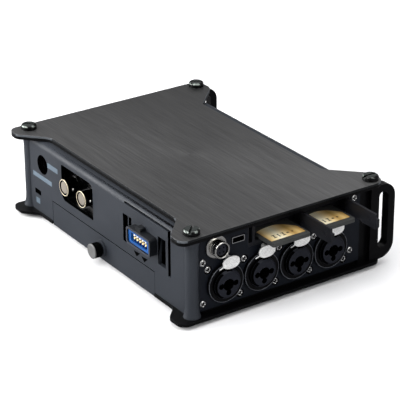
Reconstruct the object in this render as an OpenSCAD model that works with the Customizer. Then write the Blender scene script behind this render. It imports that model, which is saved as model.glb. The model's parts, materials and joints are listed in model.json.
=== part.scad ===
// Portable eight-input field recorder.
// Origin: centre of the four base bolt holes, on the underside of the bottom cover.
// +X is the side with inputs 5 to 8, -X the side with inputs 1 to 4 and the card bays,
// -Y the control panel, +Y the rear panel, +Z up. Lengths are in millimetres.

/* [Covers] */
// Width over the top and bottom covers
cover_w = 178.2; // [177:0.1:180]
// Height from the underside of the bottom cover to the top of the top cover
cover_h = 49.1; // [49:0.1:50]
// Thickness of the brushed top cover
top_t = 1.3; // [1:0.1:1.5]
// Thickness of the painted flange under the top cover
flange_t = 1.7; // [1.5:0.1:1.8]
// Thickness of the bottom cover
base_t = 1.8; // [1.5:0.1:2]
// Height of the rubber feet
foot_h = 2.2; // [1.8:0.1:3]
// Height of the slotted corner screw heads
screw_head_h = 3.0; // [2.5:0.1:3.2]

/* [Body] */
// Distance from the middle to the outer face of a side panel
side_x = 85; // [84.8:0.1:85.2]
// Rear wall outer face
rear_y = 59.6; // [59.4:0.1:59.8]
// Front edge of the painted body
front_y = -53.2; // [-53.4:0.1:-53]
// Radius of the corner pillars
pillar_r = 3.5; // [3.3:0.1:3.6]
// Half the distance between corner screws, side to side
bolt_x = 83.1; // [83:0.1:83.2]
// Half the distance between corner screws, front to back
bolt_y = 57.75; // [57.7:0.01:57.8]
// Radius of the corner screw holes
bolt_r = 2.2; // [2.1:0.05:2.3]

/* [Input connectors] */
// Distance between neighbouring input connectors
input_pitch = 22.7; // [22.5:0.1:22.9]
// Centre of the rearmost input connector
input_y0 = 39.05; // [38.9:0.05:39.2]
// Height of the input connectors
input_z = 17.1; // [17:0.1:17.2]
// Radius of the plug hole in an input connector
plug_r = 3.25; // [3.2:0.01:3.3]

/* [Card bays] */
// Distance between the two card bays
bay_pitch = 29.6; // [29.6:0.1:29.8]
// Centre of the first card
card_y = 4.85; // [4.8:0.01:4.9]
// Underside of the cards
card_z = 35.2; // [35.2:0.05:35.3]
// How far a card stands out of the side panel
card_out = 12.3; // [11:0.1:12.3]
// Thickness of a bay door
door_t = 1.2; // [1.1:0.05:1.2]
// Length of a bay door without its catch
door_l = 25.6; // [25:0.1:25.6]

/* [Battery drawer] */
// Width of the drawer front
drawer_w = 106.3; // [106:0.1:106.4]
// Middle of the drawer front
drawer_x = 2.35; // [2.3:0.05:2.4]
// Radius of a cell
cell_r = 6.95; // [6.9:0.01:6.95]
// Length of a cell without its contact stud
cell_l = 48.6; // [48:0.1:48.6]

/* [Hidden] */
$fn = 48;

// Levels
roof_z = cover_h - top_t - flange_t;   // underside of the flange
lid_z = cover_h - top_t;               // underside of the top cover
gap = 0.1;                             // assembly gap between fixed pieces
eps = 0.5;                             // overshoot of a cutter

// Outlines, as half outlines of [x, y, corner radius]
half_w = cover_w / 2;
ear_y = 68.1;       // rear tip of the corner ears
toe_y = -63.4;      // front tip of the corner ears
top_recess = 54.4;  // rear edge of the top cover between its ears
base_recess = 60.3; // rear edge of the bottom cover between its ears

// Side panels
panel_t = 2;
panel_z0 = 4;
panel_y0 = -49.5;
panel_y1 = 55.2;
inlet_y = 44.6;
port_z = 39.2;
usb_y = 30.3;
housing_r = 10.8;
insert_r = 8.15;
flange_screw = [10.1, 9.6]; // from an input connector to its screws
sink = 0.7;                 // depth of the countersunk flange screws
latch_at = [-2, 12];        // from an input connector to its latch

// Card bays
card_w = 24;
card_len = 32;
card_t = 2.1;
bay_z0 = 32.6;
bay_z1 = roof_z - 0.2;
bay_y0 = card_y - bay_pitch - 17.85;
bay_y1 = card_y + 19.1;
bay_back = side_x - 8.4;
hinge_y = card_y - 15.6;
door_z0 = card_z + 0.1;
door_z1 = door_z0 + 8.7;

// Rear panel
wall_t = 2.2;
dc_x = 65.7;
dc_z = 33;
bnc_x = [18.1, 36.7];
bnc_z = 30.5;
capsule_x = -42.4;
capsule_z = 29.75;

// Battery drawer
drawer_z0 = -0.5;
drawer_z1 = 14;
cell_z = cell_r + 0.15;
tray_y = 0.6;
screw_z = 6.2;
boss = 1.2;         // height of the round boss under the thumbscrew

// Control panel
face_y = -55.2;     // outer face of the control panel
face_t = 1.8;
face_z0 = 2.2;
face_z1 = 43;
face_w = 79.4;
trim_x = [-70, -56, -42, -28];
trim_z = [33.5, 14.5];
key_drop = 8.8;     // from a trim knob down to its key
trim_r = 4;
shaft_r = 1.5;
key_r = 2.2;
key_proud = 1.2;
transport_x = [42, 49.5, 57, 64.5, 72];
transport_z = 9;
menu_at = [43.5, 37.5];
power_at = [70.5, 37];
select_at = [58, 27];
volume_at = [74, 22.5];
phones_at = [43.5, 22.5];
display_at = [7.5, 23];
display_size = [50, 36];

// ---- helpers ----

function unit(v) = v / norm(v);
function xy(p) = [p[0], p[1]];

// Points of an arc of radius r that rounds corner b between a and c
function arc_corner(a, b, c, r, n = 8) =
    let (u = unit(a - b), v = unit(c - b), half = acos(u * v) / 2,
         centre = b + unit(u + v) * r / sin(half),
         from = b + u * r / tan(half) - centre,
         to = b + v * r / tan(half) - centre,
         start = atan2(from.y, from.x),
         turn = (atan2(to.y, to.x) - start + 900) % 360 - 180)
    [for (i = [0:n]) centre + r * [cos(start + turn * i / n), sin(start + turn * i / n)]];

// Outline with each corner [x, y, r] rounded
function rounded(p) = [
    for (i = [0:len(p) - 1])
        each p[i][2] > 0
            ? arc_corner(xy(p[(i + len(p) - 1) % len(p)]), xy(p[i]), xy(p[(i + 1) % len(p)]), p[i][2])
            : [xy(p[i])]
];

// Whole outline from its right half
function both_halves(p) = rounded(concat(p, [for (i = [len(p) - 1:-1:0]) [-p[i][0], p[i][1], p[i][2]]]));

function rectangle(w, h, r) =
    rounded([[-w / 2, -h / 2, r], [w / 2, -h / 2, r], [w / 2, h / 2, r], [-w / 2, h / 2, r]]);

function input_y(i) = input_y0 - i * input_pitch;

module block(a, b) translate(a) cube(b - a);

// Cylinder along +X, and along +Y
module rod_x(at, r, h) translate(at) rotate([0, 90, 0]) cylinder(r = r, h = h);
module rod_y(at, r, h) translate(at) rotate([-90, 0, 0]) cylinder(r = r, h = h);

// Outline in the plane of the side panels, extruded along +X
module sheet_x(points, x0, x1) translate([x0, 0, 0]) rotate([90, 0, 90]) linear_extrude(x1 - x0) polygon(points);

// Outline centred at [x, z], extruded along +Y
module sheet_y(at, points, y0, y1)
    translate([at.x, y1, at.y]) rotate([90, 0, 0]) linear_extrude(y1 - y0) polygon(points);

module slab(points, z0, z1) translate([0, 0, z0]) linear_extrude(z1 - z0) polygon(points);

module at_bolts() for (x = [-1, 1], y = [-1, 1]) translate([x * bolt_x, y * bolt_y, 0]) children();

// ---- covers and body ----

top_outline = both_halves([
    [64.5, top_recess, 9], [79.3, ear_y, 4.5], [half_w, ear_y, 5],
    [half_w, toe_y, 6], [76.3, toe_y, 5], [57.6, -44.7, 6]
]);
base_outline = both_halves([
    [69.5, base_recess, 6], [77.5, ear_y, 4.5], [half_w, ear_y, 5],
    [half_w, toe_y, 6], [76.3, toe_y, 5], [67.5, -54.6, 6]
]);

module top_cover() color([0.36, 0.36, 0.37]) difference() {
    slab(top_outline, lid_z, cover_h);
    at_bolts() translate([0, 0, lid_z - eps]) cylinder(r = bolt_r, h = top_t + 2 * eps);
}

// Pillar whose ends widen into the covers, larger by grow all round
module corner_pillar(grow = 0) {
    flare_h = 7;
    flare = 1.2;
    steps = 8;
    top_curve = [
        for (i = [0:steps]) [pillar_r + grow + flare * pow(i / steps, 2), roof_z - flare_h + flare_h * i / steps]
    ];
    foot_curve = [for (i = [steps:-1:0]) [top_curve[i].x, base_t + roof_z - top_curve[i].y]];
    rotate_extrude() polygon(concat([[0, base_t]], foot_curve, top_curve, [[0, roof_z]]));
}

module rear_wall() {
    shoulder_r = 3.5;
    sheet_x(rounded([
        [rear_y - wall_t, base_t, 0], [rear_y, base_t, 0], [rear_y, roof_z, shoulder_r],
        [50, roof_z, 0], [50, roof_z - 1.8, 0], [rear_y - wall_t, roof_z - 1.8, 0]
    ]), -81.5, 81.5);
}

module front_shoulder() sheet_x(rounded([
    [front_y, roof_z - 3, 0], [front_y, roof_z, 2.5], [-43, roof_z, 0],
    [-43, roof_z - 1.8, 0], [front_y + 2, roof_z - 1.8, 0], [front_y + 2, roof_z - 3, 0]
]), -76, 76);

// Web behind the drawer that the thumbscrew threads into
module drawer_web() {
    block([drawer_x - 1.4, 48, 5], [drawer_x + 1.4, rear_y - wall_t - 0.2, drawer_z1 + 0.3]);
    block([drawer_x - 1.4, 48, drawer_z1 + 0.3], [drawer_x + 1.4, rear_y - wall_t, drawer_z1 + 6]);
}

module drawer_opening() {
    side_gap = 0.25;
    block([drawer_x - drawer_w / 2 - side_gap, rear_y - wall_t - eps, -eps],
          [drawer_x + drawer_w / 2 + side_gap, rear_y + eps, drawer_z1 + 0.5]);
}

module bnc_window() translate([27.55, 0, 30.45]) rotate([90, 0, 0])
    linear_extrude(10) polygon(rounded([
        [-16.85, -10.75, 1], [16.85, -10.75, 4], [16.85, 10.75, 1], [-16.85, 10.75, 4]
    ]));

module rear_cutouts() {
    groove = [2.5, 1.3]; // width of the upright and of the level groove
    groove_d = 1.3;
    slot_z = [20.5, 36.7];
    rod_y([dc_x, rear_y - wall_t - eps, dc_z], 5.8, wall_t + 2 * eps);
    block([68.7, rear_y - wall_t - eps, 12.4], [75.5, rear_y + eps, 15.4]);
    translate([0, rear_y + eps, 0]) bnc_window();
    sheet_y([capsule_x, capsule_z], rectangle(23.2, 10.4, 2.1), rear_y - wall_t - eps, rear_y + eps);
    // guide slots of the capsule seat; the left one has a rib
    for (x = [[-25.4, -20.4], [-28.9, -26.2], [-61.8, -54.6]])
        block([x[0], rear_y - wall_t - eps, slot_z[0]], [x[1], rear_y + eps, slot_z[1]]);
    // outline grooves of the capsule seat
    block([-66.5, rear_y - groove_d, 42.9], [-22, rear_y + eps, 42.9 + groove[1]]);
    block([-66.5, rear_y - groove_d, 17.3], [-66.5 + groove[0], rear_y + eps, 43]);
}

module chassis() color([0.33, 0.36, 0.40]) difference() {
    union() {
        difference() {
            slab(top_outline, roof_z, lid_z);
            block([-74, -40, roof_z - eps], [74, 50, lid_z + eps]);
        }
        difference() {
            rear_wall();
            rear_cutouts();
            drawer_opening();
        }
        front_shoulder();
        drawer_web();
        for (x = [-1, 1]) translate([x * bolt_x, bolt_y, 0]) corner_pillar();
    }
    at_bolts() {
        translate([0, 0, 30]) cylinder(r = bolt_r, h = lid_z);
        translate([0, 0, -eps]) cylinder(r = bolt_r, h = 14 + eps);
    }
    rod_y([drawer_x, 47, screw_z], 1.35, 11);
}

module battery_box() {
    box_x = drawer_w / 2 + 0.8;
    wall = 1.2;
    y0 = tray_y - 1.6;
    y1 = rear_y - wall_t - 0.1;
    roof = drawer_z1 + 0.3;
    difference() {
        block([drawer_x - box_x - wall, y0, 0.5], [drawer_x + box_x + wall, y1, roof + 1]);
        block([drawer_x - box_x, y0 + wall, -eps], [drawer_x + box_x, y1 + eps, roof]);
        block([drawer_x - 1.6, 47.5, 0], [drawer_x + 1.6, y1 + eps, roof + 2]);
    }
}

module bottom_cover() color([0.09, 0.09, 0.1]) difference() {
    union() {
        difference() {
            slab(base_outline, 0, base_t);
            block([drawer_x - drawer_w / 2 - 0.3, tray_y - 0.4, -eps],
                  [drawer_x + drawer_w / 2 + 0.3, ear_y, base_t + eps]);
        }
        battery_box();
        // upstands inside the side panels
        for (x = [-1, 1]) translate([x * 82.1, 0, 0]) block([-0.7, -49, base_t - 0.1], [0.7, 51, 4.4]);
    }
    at_bolts() translate([0, 0, -eps]) cylinder(r = bolt_r, h = base_t + 2 * eps);
}

module corner_screw(turn) difference() {
    head_r = 4.5;
    translate([0, 0, cover_h]) union() {
        rotate_extrude() polygon(concat(
            [[0, 0], [head_r, 0]],
            arc_corner([head_r, 0], [head_r, screw_head_h], [0, screw_head_h], 1.4),
            [[0, screw_head_h]]));
        translate([0, 0, -16]) cylinder(r = 2, h = 16.1);
    }
    rotate([0, 0, turn]) translate([-5, -0.75, cover_h + screw_head_h - 1.5]) cube([10, 1.5, 2]);
}

module corner_screws() color([0.25, 0.26, 0.27])
    for (p = [[-1, 1, -46], [-1, -1, 88], [1, -1, 56], [1, 1, 43]])
        translate([p[0] * bolt_x, p[1] * bolt_y, 0]) corner_screw(p[2]);

module rubber_feet() color([0.06, 0.06, 0.06]) for (x = [-1, 1], y = [-44, 38]) translate([x * 70, y, -foot_h])
    rotate_extrude() polygon(concat(
        [[0, 0]], arc_corner([0, 0], [5.2, 0], [5.2, foot_h], 0.6), [[5.2, foot_h], [0, foot_h]]));

// Side view of a guard handle, without its grip opening
guard_outline = rounded([
    [-49.7, base_t, 0], [-72.1, base_t, 9], [-72.1, roof_z, 8], [-49.7, roof_z, 0]
]);

module guard_handles() color([0.08, 0.08, 0.085]) for (s = [-1, 1]) mirror([s < 0 ? 1 : 0, 0, 0]) difference() {
    union() {
        sheet_x(guard_outline, 81.9, 87.2);
        block([79.8, -61.2, base_t], [82, -54, roof_z]);
    }
    // grip opening
    sheet_x(rounded([[-61.2, 8.4, 2.5], [-67.7, 8.4, 3.2], [-67.7, 41.8, 3.2], [-61.2, 41.8, 2.5]]), 81, 88);
    // stepped-back face beside the side panel
    block([84.6, -55.6, base_t - eps], [88, -49, roof_z + eps]);
    translate([bolt_x, -bolt_y, 30]) cylinder(r = bolt_r, h = 20);
    translate([bolt_x, -bolt_y, -eps]) cylinder(r = bolt_r, h = 14 + eps);
}

// ---- side panels and their connectors ----

module panel_screw_places()
    for (p = [[52.6, 31.7], [52.6, 8.2], [-43, 11.9], [-45.1, 42.3]]) translate([0, p.x, p.y]) children();

module flange_screw_places() for (i = [0:3], d = [-1, 1])
    translate([0, input_y(i) + d * flange_screw.x, input_z + d * flange_screw.y]) children();

// One side panel, as seen on the +X side
module panel_blank() difference() {
    block([side_x - panel_t, panel_y0, panel_z0], [side_x, panel_y1, roof_z - gap]);
    for (i = [0:3]) {
        rod_x([side_x - 5, input_y(i), input_z], housing_r + gap, 10);
        rod_x([side_x - 5, input_y(i) + latch_at.x, input_z + latch_at.y + 1.8], 1.4, 10);
    }
    panel_screw_places() rod_x([side_x - 5, 0, 0], 1.1, 10);
    flange_screw_places() {
        rod_x([side_x - 5, 0, 0], 1.1, 10);
        rod_x([side_x - sink, 0, 0], 2.4, 10);
    }
    translate([bolt_x, bolt_y, 0]) corner_pillar(gap);
}

module side_panels() color([0.17, 0.18, 0.20]) {
    mirror([1, 0, 0]) difference() {
        panel_blank();
        rod_x([side_x - 5, inlet_y, port_z], 5.6, 10);
        block([side_x - 5, usb_y - 4.4, port_z - 2.1], [side_x + 5, usb_y + 4.4, port_z + 2.1]);
        block([side_x - 5, bay_y0 - gap, bay_z0 - gap], [side_x + 5, bay_y1 + gap, cover_h]);
    }
    difference() {
        panel_blank();
        for (y = [inlet_y, inlet_y - 18]) rod_x([side_x - 5, y, port_z], 4.9, 10);
        rod_x([side_x - 5, 10, port_z], 3.5, 10);
    }
}

module small_screw() {
    head_r = 1.9;
    rotate([0, 90, 0]) difference() {
        union() {
            cylinder(r = head_r, h = 0.5);
            translate([0, 0, 0.5]) cylinder(r1 = head_r, r2 = 1.2, h = 0.7);
            translate([0, 0, -3.4]) cylinder(r = 1, h = 3.5);
        }
        translate([0, 0, 0.4]) cylinder(r = 0.75, h = 1, $fn = 6);
    }
}

module panel_screws() color([0.75, 0.75, 0.75]) {
    for (s = [0, 1]) mirror([s, 0, 0]) {
        panel_screw_places() translate([side_x, 0, 0]) small_screw();
        flange_screw_places() translate([side_x - sink, 0, 0]) small_screw();
    }
    for (x = [-1, 1], z = [face_z0 + 3, face_z1 - 3])
        translate([x * (face_w - 2.4), face_y, z]) rotate([0, 0, -90]) small_screw();
}

module at_inputs() for (s = [0, 1], i = [0:3]) mirror([s, 0, 0]) translate([side_x, input_y(i), input_z]) children();

module combo_housings() color([0.07, 0.07, 0.08]) at_inputs() difference() {
    union() {
        rod_x([-2.1, 0, 0], housing_r, 4.2);
        rod_x([-25, 0, 0], 9.7, 24);
        block([-3.6, -10.9, -11.8], [-2.1, 10.9, 11.8]);
    }
    rod_x([-23, 0, 0], insert_r + 0.25, 26);
    for (d = [-1, 1]) rod_x([-5, d * flange_screw.x, d * flange_screw.y], 1.1, 5);
}

module combo_inserts() color([0.30, 0.32, 0.36]) at_inputs() difference() {
    union() {
        rod_x([-22.9, 0, 0], insert_r, 26.2);
        translate([3.2, 0, 0]) rotate([0, 90, 0]) cylinder(r1 = insert_r, r2 = insert_r - 1.1, h = 1.1);
    }
    rod_x([-18, 0, 0], plug_r, 23);
    for (a = [0, 180, 270]) rod_x([-5, 4.5 * cos(a), 4.5 * sin(a)], 1.6, 10);
}

// Release latch of one input connector; numbers 1 to 4 are on the -X side
module latch(number) color([0.86, 0.86, 0.84]) mirror([number < 5 ? 1 : 0, 0, 0])
    translate([side_x, input_y((number - 1) % 4) + latch_at.x, input_z + latch_at.y]) {
        face = 3;
        rod_x([-4, 0, 1.8], 1.3, face + 4.1);
        intersection() {
            rod_x([face, 0, -2.6], 6, 1);
            rod_x([face, 0, 2.6], 6, 1);
            block([face - 1, -5.2, -4], [face + 2, 5.2, 4]);
        }
        // wire that runs down beside the rim
        sheet_x([[3.4, -0.9], [3.4, -1.8], [7.3, -3], [7.3, -2.1]], face, face + 0.7);
    }

module power_inlet() color([0.78, 0.78, 0.77]) mirror([1, 0, 0]) translate([side_x, inlet_y, port_z]) {
    difference() {
        union() {
            rod_x([0, 0, 0], 6.3, 1.4);
            rod_x([-9, 0, 0], 5.4, 9.5);
            rod_x([1, 0, 0], 4.6, 5.8);
        }
        rod_x([1.5, 0, 0], 3.7, 6);
    }
    difference() {
        rod_x([1.2, 0, 0], 3.1, 4.6);
        for (a = [45:90:315]) rod_x([2.5, 1.5 * cos(a), 1.5 * sin(a)], 0.45, 5);
    }
}

module side_ports() color([0.62, 0.62, 0.63]) {
    // USB socket on the -X side
    mirror([1, 0, 0]) translate([side_x, usb_y, port_z]) difference() {
        sheet_x(rectangle(8, 3.6, 0.7), -9, 0.3);
        sheet_x(rectangle(7.2, 2.8, 0.5), -6.5, 1);
        block([-7, -2.6, -0.5], [-1, 2.6, 0.5]);
    }
    mirror([1, 0, 0]) translate([side_x, usb_y, port_z]) block([-8, -2.5, -0.4], [-1.2, 2.5, 0.4]);
    // two three-pin outputs on the +X side
    for (y = [inlet_y, inlet_y - 18]) translate([side_x, y, port_z]) {
        difference() {
            union() {
                rod_x([-12, 0, 0], 4.8, 12);
                rod_x([0, 0, 0], 5.8, 1.2);
            }
            rod_x([-9, 0, 0], 4, 12);
        }
        for (a = [90, 210, 330]) rod_x([-9.5, 2 * cos(a), 2 * sin(a)], 0.5, 8);
    }
}

module card_slot(i) translate([0, -i * bay_pitch, 0]) {
    tight = 0.2;
    block([-bay_back - eps, card_y - card_w / 2 - tight, card_z - tight / 2],
          [-bay_back + 31.7, card_y + card_w / 2 + tight, card_z + card_t + tight / 2]);
}

module sd_bay() color([0.11, 0.11, 0.12]) difference() {
    union() {
        block([-side_x + 0.1, bay_y0, bay_z0], [-bay_back + 1.6, bay_y1, bay_z1]);
        for (i = [0, 1]) translate([0, -i * bay_pitch, 0]) {
            // socket behind the bay
            block([-bay_back, card_y - 13.4, 34], [-bay_back + 32.6, card_y + 13.4, 38.8]);
            // hinge lugs
            translate([-side_x, hinge_y, bay_z0]) cylinder(r = 1.3, h = bay_z1 - bay_z0);
        }
    }
    // finger wells
    block([-side_x - 5, hinge_y - 0.98, 35], [-bay_back, card_y + 14.75, 45]);
    block([-side_x - 5, bay_y0 + 1.2, 35], [-bay_back, hinge_y - 1.6, 45]);
    // catch groove beside the first well
    block([-side_x - 5, bay_y1 - 2.7, 34.6], [-side_x + 3.2, bay_y1 - 0.4, 45.2]);
    for (i = [0, 1]) {
        card_slot(i);
        translate([-side_x, hinge_y - i * bay_pitch, bay_z0 + 0.8]) cylinder(r = 0.55, h = bay_z1);
        // clears the door knuckle
        translate([-side_x, hinge_y - i * bay_pitch, 35]) cylinder(r = 1.5, h = 10);
    }
}

// Bay door, drawn open at right angles to the panel
module sd_door(i) color([0.12, 0.12, 0.13]) translate([-side_x, hinge_y - i * bay_pitch, 0]) difference() {
    union() {
        block([-door_l, 0, door_z0], [0, door_t, door_z1]);
        translate([0, 0, door_z0]) cylinder(r = 0.85, h = door_z1 - door_z0);
        translate([0, 0, bay_z0 + 1]) cylinder(r = 0.5, h = bay_z1 - bay_z0 - 1.2);
        // catch at the free end
        block([-door_l - 2.2, 0.3, door_z0 + 2], [-door_l + 0.1, 1, door_z0 + 6.7]);
        block([-door_l - 2.2, 0.3, door_z0 + 2], [-door_l - 1.4, 1.9, door_z0 + 6.7]);
    }
    // relief that clears the corner of the card
    block([-14, 0.5, door_z0 - eps], [-0.9, door_t + eps, door_z0 + 3.3]);
    // round mark near the catch
    rod_y([-door_l + 4.6, door_t - 0.25, door_z0 + 4.3], 1.5, 1);
}

module sd_card(i) color([0.2, 0.2, 0.21]) translate([-side_x - card_out, card_y - i * bay_pitch, card_z]) {
    half = card_w / 2;
    difference() {
        slab(rounded([
            [0, -half, 1], [card_len - 4, -half, 0.5], [card_len, -half + 4, 0.5], [card_len, half, 1], [0, half, 1]
        ]), 0, card_t);
        // label recess
        slab(rounded([
            [1.6, -half + 1, 0.6], [24, -half + 1, 0.6], [24, half - 1, 0.6], [1.6, half - 1, 0.6]
        ]), card_t - 0.12, card_t + 1);
    }
}

// ---- rear connectors ----

module jack_sockets() color([0.05, 0.05, 0.055]) {
    wall_y = rear_y - wall_t;
    // plate behind the two round connectors
    difference() {
        block([8, wall_y - 4.2, 17], [47, wall_y - 2.8, 43.6]);
        for (x = bnc_x) rod_y([x, wall_y - 5, bnc_z], 4.85, 4);
    }
    difference() {
        block([8, wall_y - 2.9, 17], [47, wall_y - 0.1, 43.6]);
        translate([0, wall_y + 1, 0]) bnc_window();
    }
    // power socket
    difference() {
        union() {
            rod_y([dc_x, wall_y - 12, dc_z], 5.6, 11.8);
            block([dc_x - 6, wall_y - 13, dc_z - 7], [dc_x + 6, wall_y - 3, dc_z + 5]);
        }
        rod_y([dc_x, wall_y - 9.7, dc_z], 2.9, 12);
    }
    rod_y([dc_x, wall_y - 10, dc_z], 1, 8.5);
    // headphone socket on the control panel
    difference() {
        rod_y([phones_at.x, face_y - 1, phones_at.y], 4.6, 17);
        rod_y([phones_at.x, face_y - 2, phones_at.y], 3.2, 16);
    }
    // small output socket on the +X side
    difference() {
        rod_x([side_x - 14, 10, port_z], 3.4, 14.8);
        rod_x([side_x - 12, 10, port_z], 1.8, 14);
    }
}

module bnc_jacks() color([0.8, 0.8, 0.78]) for (x = bnc_x) {
    seat = rear_y - wall_t - 2.8;
    difference() {
        union() {
            rod_y([x, seat - 12, bnc_z], 4.75, 20.2);
            rod_y([x, seat, bnc_z], 5.5, 1.2);
        }
        rod_y([x, seat + 0.8, bnc_z], 3.9, 10);
    }
    difference() {
        rod_y([x, seat + 0.5, bnc_z], 2.4, 6);
        rod_y([x, seat + 2, bnc_z], 0.7, 6);
    }
}

module capsule_shroud() color([0.16, 0.17, 0.19]) {
    face = 64.4;
    difference() {
        union() {
            sheet_y([capsule_x, capsule_z], rectangle(23, 10.2, 2), rear_y - 7, face);
            // catch ridge on top
            sheet_y([capsule_x + 2, capsule_z + 5.9], rectangle(5, 2.6, 0.8), rear_y + gap, face - 1.4);
        }
        sheet_y([capsule_x, capsule_z], rectangle(20.6, 7.8, 1.3), rear_y - 3, face + eps);
    }
}

module capsule_insert() color([0.2, 0.42, 0.72]) difference() {
    sheet_y([capsule_x, capsule_z], rectangle(20.4, 7.6, 1.2), rear_y - 2.9, 63.6);
    sheet_y([capsule_x, capsule_z], rectangle(15.6, 4.8, 0.6), 60.4, 64);
}

// ---- battery drawer ----

module battery_drawer() color([0.30, 0.32, 0.35]) {
    half = drawer_w / 2;
    front_t = 1.8;
    inner = half - 0.8;
    tray_wall = 0.6;
    y1 = rear_y - front_t;
    difference() {
        union() {
            block([drawer_x - half, y1, drawer_z0], [drawer_x + half, rear_y, drawer_z1]);
            rod_y([drawer_x, rear_y - 0.1, screw_z], 5, boss + 0.1);
        }
        rod_y([drawer_x, y1 - eps, screw_z], 1.35, front_t + boss + 2 * eps);
    }
    difference() {
        block([drawer_x - inner, tray_y, -0.3], [drawer_x + inner, y1, drawer_z1 - 0.4]);
        block([drawer_x - inner + tray_wall, tray_y + tray_wall, 0.1],
              [drawer_x + inner - tray_wall, y1 - 0.5, drawer_z1]);
        // slot that passes the web behind the thumbscrew
        block([drawer_x - 1.9, tray_y - eps, 0.1], [drawer_x + 1.9, y1 + eps, drawer_z1]);
    }
}

module battery_cells() color([0.16, 0.3, 0.2]) for (s = [-1, 1], row = [0:3]) {
    inner_x = 2.1;
    pitch = 14;
    nub = 0.9;
    side = row % 2 == 0 ? s : -s;
    start = s > 0 ? drawer_x + inner_x : drawer_x - inner_x - cell_l - nub;
    cell_y = 50.25 - row * pitch;
    rod_x([start + (side > 0 ? 0 : nub), cell_y, cell_z], cell_r, cell_l);
    rod_x([start + (side > 0 ? cell_l - 1 : 0), cell_y, cell_z], 2.7, 1 + nub);
}

module thumbscrew() color([0.6, 0.6, 0.6]) {
    head = rear_y + boss + gap;
    rod_y([drawer_x, 48.5, screw_z], 1.25, head - 48);
    rod_y([drawer_x, head, screw_z], 3.6, 0.7);
    rod_y([drawer_x, head + 0.6, screw_z], 4.35, 66.5 - head - 0.6);
}

// ---- control panel ----

function trim_at(n) = [trim_x[(n - 1) % 4], trim_z[floor((n - 1) / 4)]];
function key_at(n) = trim_at(n) - [0, key_drop];

module key_hole(at, w, h) sheet_y(at, rectangle(w + 0.3, h + 0.3, 0.8), face_y - eps, face_y + face_t + eps);
module round_hole(at, r) rod_y([at.x, face_y - eps, at.y], r, face_t + 2 * eps);

module front_panel() color([0.10, 0.10, 0.11]) difference() {
    union() {
        sheet_y([0, (face_z0 + face_z1) / 2], rectangle(2 * face_w, face_z1 - face_z0, 2), face_y, face_y + face_t);
        // raised frame round the display
        sheet_y(display_at, rectangle(display_size.x + 3, display_size.y + 3, 2), face_y - 0.5, face_y + 0.1);
    }
    sheet_y(display_at, rectangle(display_size.x + 0.2, display_size.y + 0.2, 1), face_y - 2, face_y + 0.9);
    sheet_y(display_at, rectangle(display_size.x - 6, display_size.y - 6, 1), face_y - 2, face_y + 5);
    for (n = [1:8]) {
        round_hole(trim_at(n), shaft_r + 0.06);
        round_hole(key_at(n), key_r + 0.1);
    }
    for (x = transport_x) key_hole([x, transport_z], 6, 4.6);
    key_hole(menu_at, 8, 4.6);
    round_hole(power_at, 3.3);
    round_hole(select_at, 3.06);
    round_hole(volume_at, shaft_r + 0.06);
    round_hole(phones_at, 4.7);
    // slate microphone grille
    for (a = [0:60:300]) round_hole([58 + 1.6 * cos(a), 39 + 1.6 * sin(a)], 0.5);
    for (x = [-1, 1], z = [face_z0 + 3, face_z1 - 3]) round_hole([x * (face_w - 2.4), z], 1.1);
}

module display_lens() color([0.03, 0.04, 0.05])
    sheet_y(display_at, rectangle(display_size.x, display_size.y, 0.9), face_y - 0.3, face_y + 0.8);

// Knob with a shaft that turns in the control panel
module knob(at, r, h, stem_r) difference() {
    union() {
        rod_y([at.x, face_y - 0.6 - h, at.y], r, h);
        rod_y([at.x, face_y - 1, at.y], stem_r, 6.1);
    }
    block([at.x - 0.4, face_y - 2 - h, at.y + r * 0.25], [at.x + 0.4, face_y - h - 0.1, at.y + r + 1]);
}

module trim_knob(n) color([0.14, 0.14, 0.15]) knob(trim_at(n), trim_r, 6, shaft_r);
module select_knob() color([0.14, 0.14, 0.15]) knob(select_at, 7, 9, 3);
module volume_knob() color([0.14, 0.14, 0.15]) knob(volume_at, 4.8, 7.5, shaft_r);

// Keys, each held in by a wider foot behind the control panel
key_back = face_y + face_t + 0.05;

module round_key(at, r) {
    rod_y([at.x, face_y - key_proud, at.y], r, key_back + 0.1 - face_y + key_proud);
    rod_y([at.x, key_back, at.y], r + 0.7, 0.8);
}

module flat_key(at, w, h) {
    sheet_y(at, rectangle(w, h, 0.9), face_y - key_proud, key_back + 0.1);
    sheet_y(at, rectangle(w + 1.3, h + 1.3, 0.9), key_back, key_back + 0.8);
}

module pfl_key(n) color([0.7, 0.7, 0.68]) round_key(key_at(n), key_r);
module transport_key(i) color([0.55, 0.56, 0.58]) flat_key([transport_x[i], transport_z], 6, 4.6);
module menu_key() color([0.55, 0.56, 0.58]) flat_key(menu_at, 8, 4.6);
module power_key() color([0.55, 0.56, 0.58]) round_key(power_at, 3.2);

module main_board() color([0.06, 0.28, 0.16]) {
    board_z = 27.6;
    board_t = 1.6;
    control_y = -49;
    block([-56, -46, board_z], [56, 38, board_z + board_t]);
    block([-18, -18, board_z + 1.6], [2, 2, board_z + 3.2]);
    block([14, -14, board_z + 1.6], [26, 2, board_z + 3]);
    block([30, -30, board_z + 1.6], [50, -12, board_z + 7]);
    for (x = [-38:8:-22], y = [-28, 12]) translate([x, y, board_z + 1.5]) cylinder(r = 3, h = 7);
    // upright board behind the control panel
    difference() {
        block([-76, control_y, 4.5], [76, control_y + board_t, 42]);
        rod_y([phones_at.x, control_y - 1, phones_at.y], 4.8, 4);
    }
    // display module behind its window
    block([display_at.x - 24, face_y + face_t + 0.4, 7], [display_at.x + 24, control_y + 0.1, 40]);
    // bodies that the knob shafts turn in
    for (at = concat([for (n = [1:8]) trim_at(n)], [select_at, volume_at])) difference() {
        block([at.x - 4.5, control_y - 2.2, at.y - 4], [at.x + 4.5, control_y + 0.1, at.y + 4]);
        rod_y([at.x, control_y - 3, at.y], at == select_at ? 3.06 : shaft_r + 0.06, 2.2);
    }
}

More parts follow.
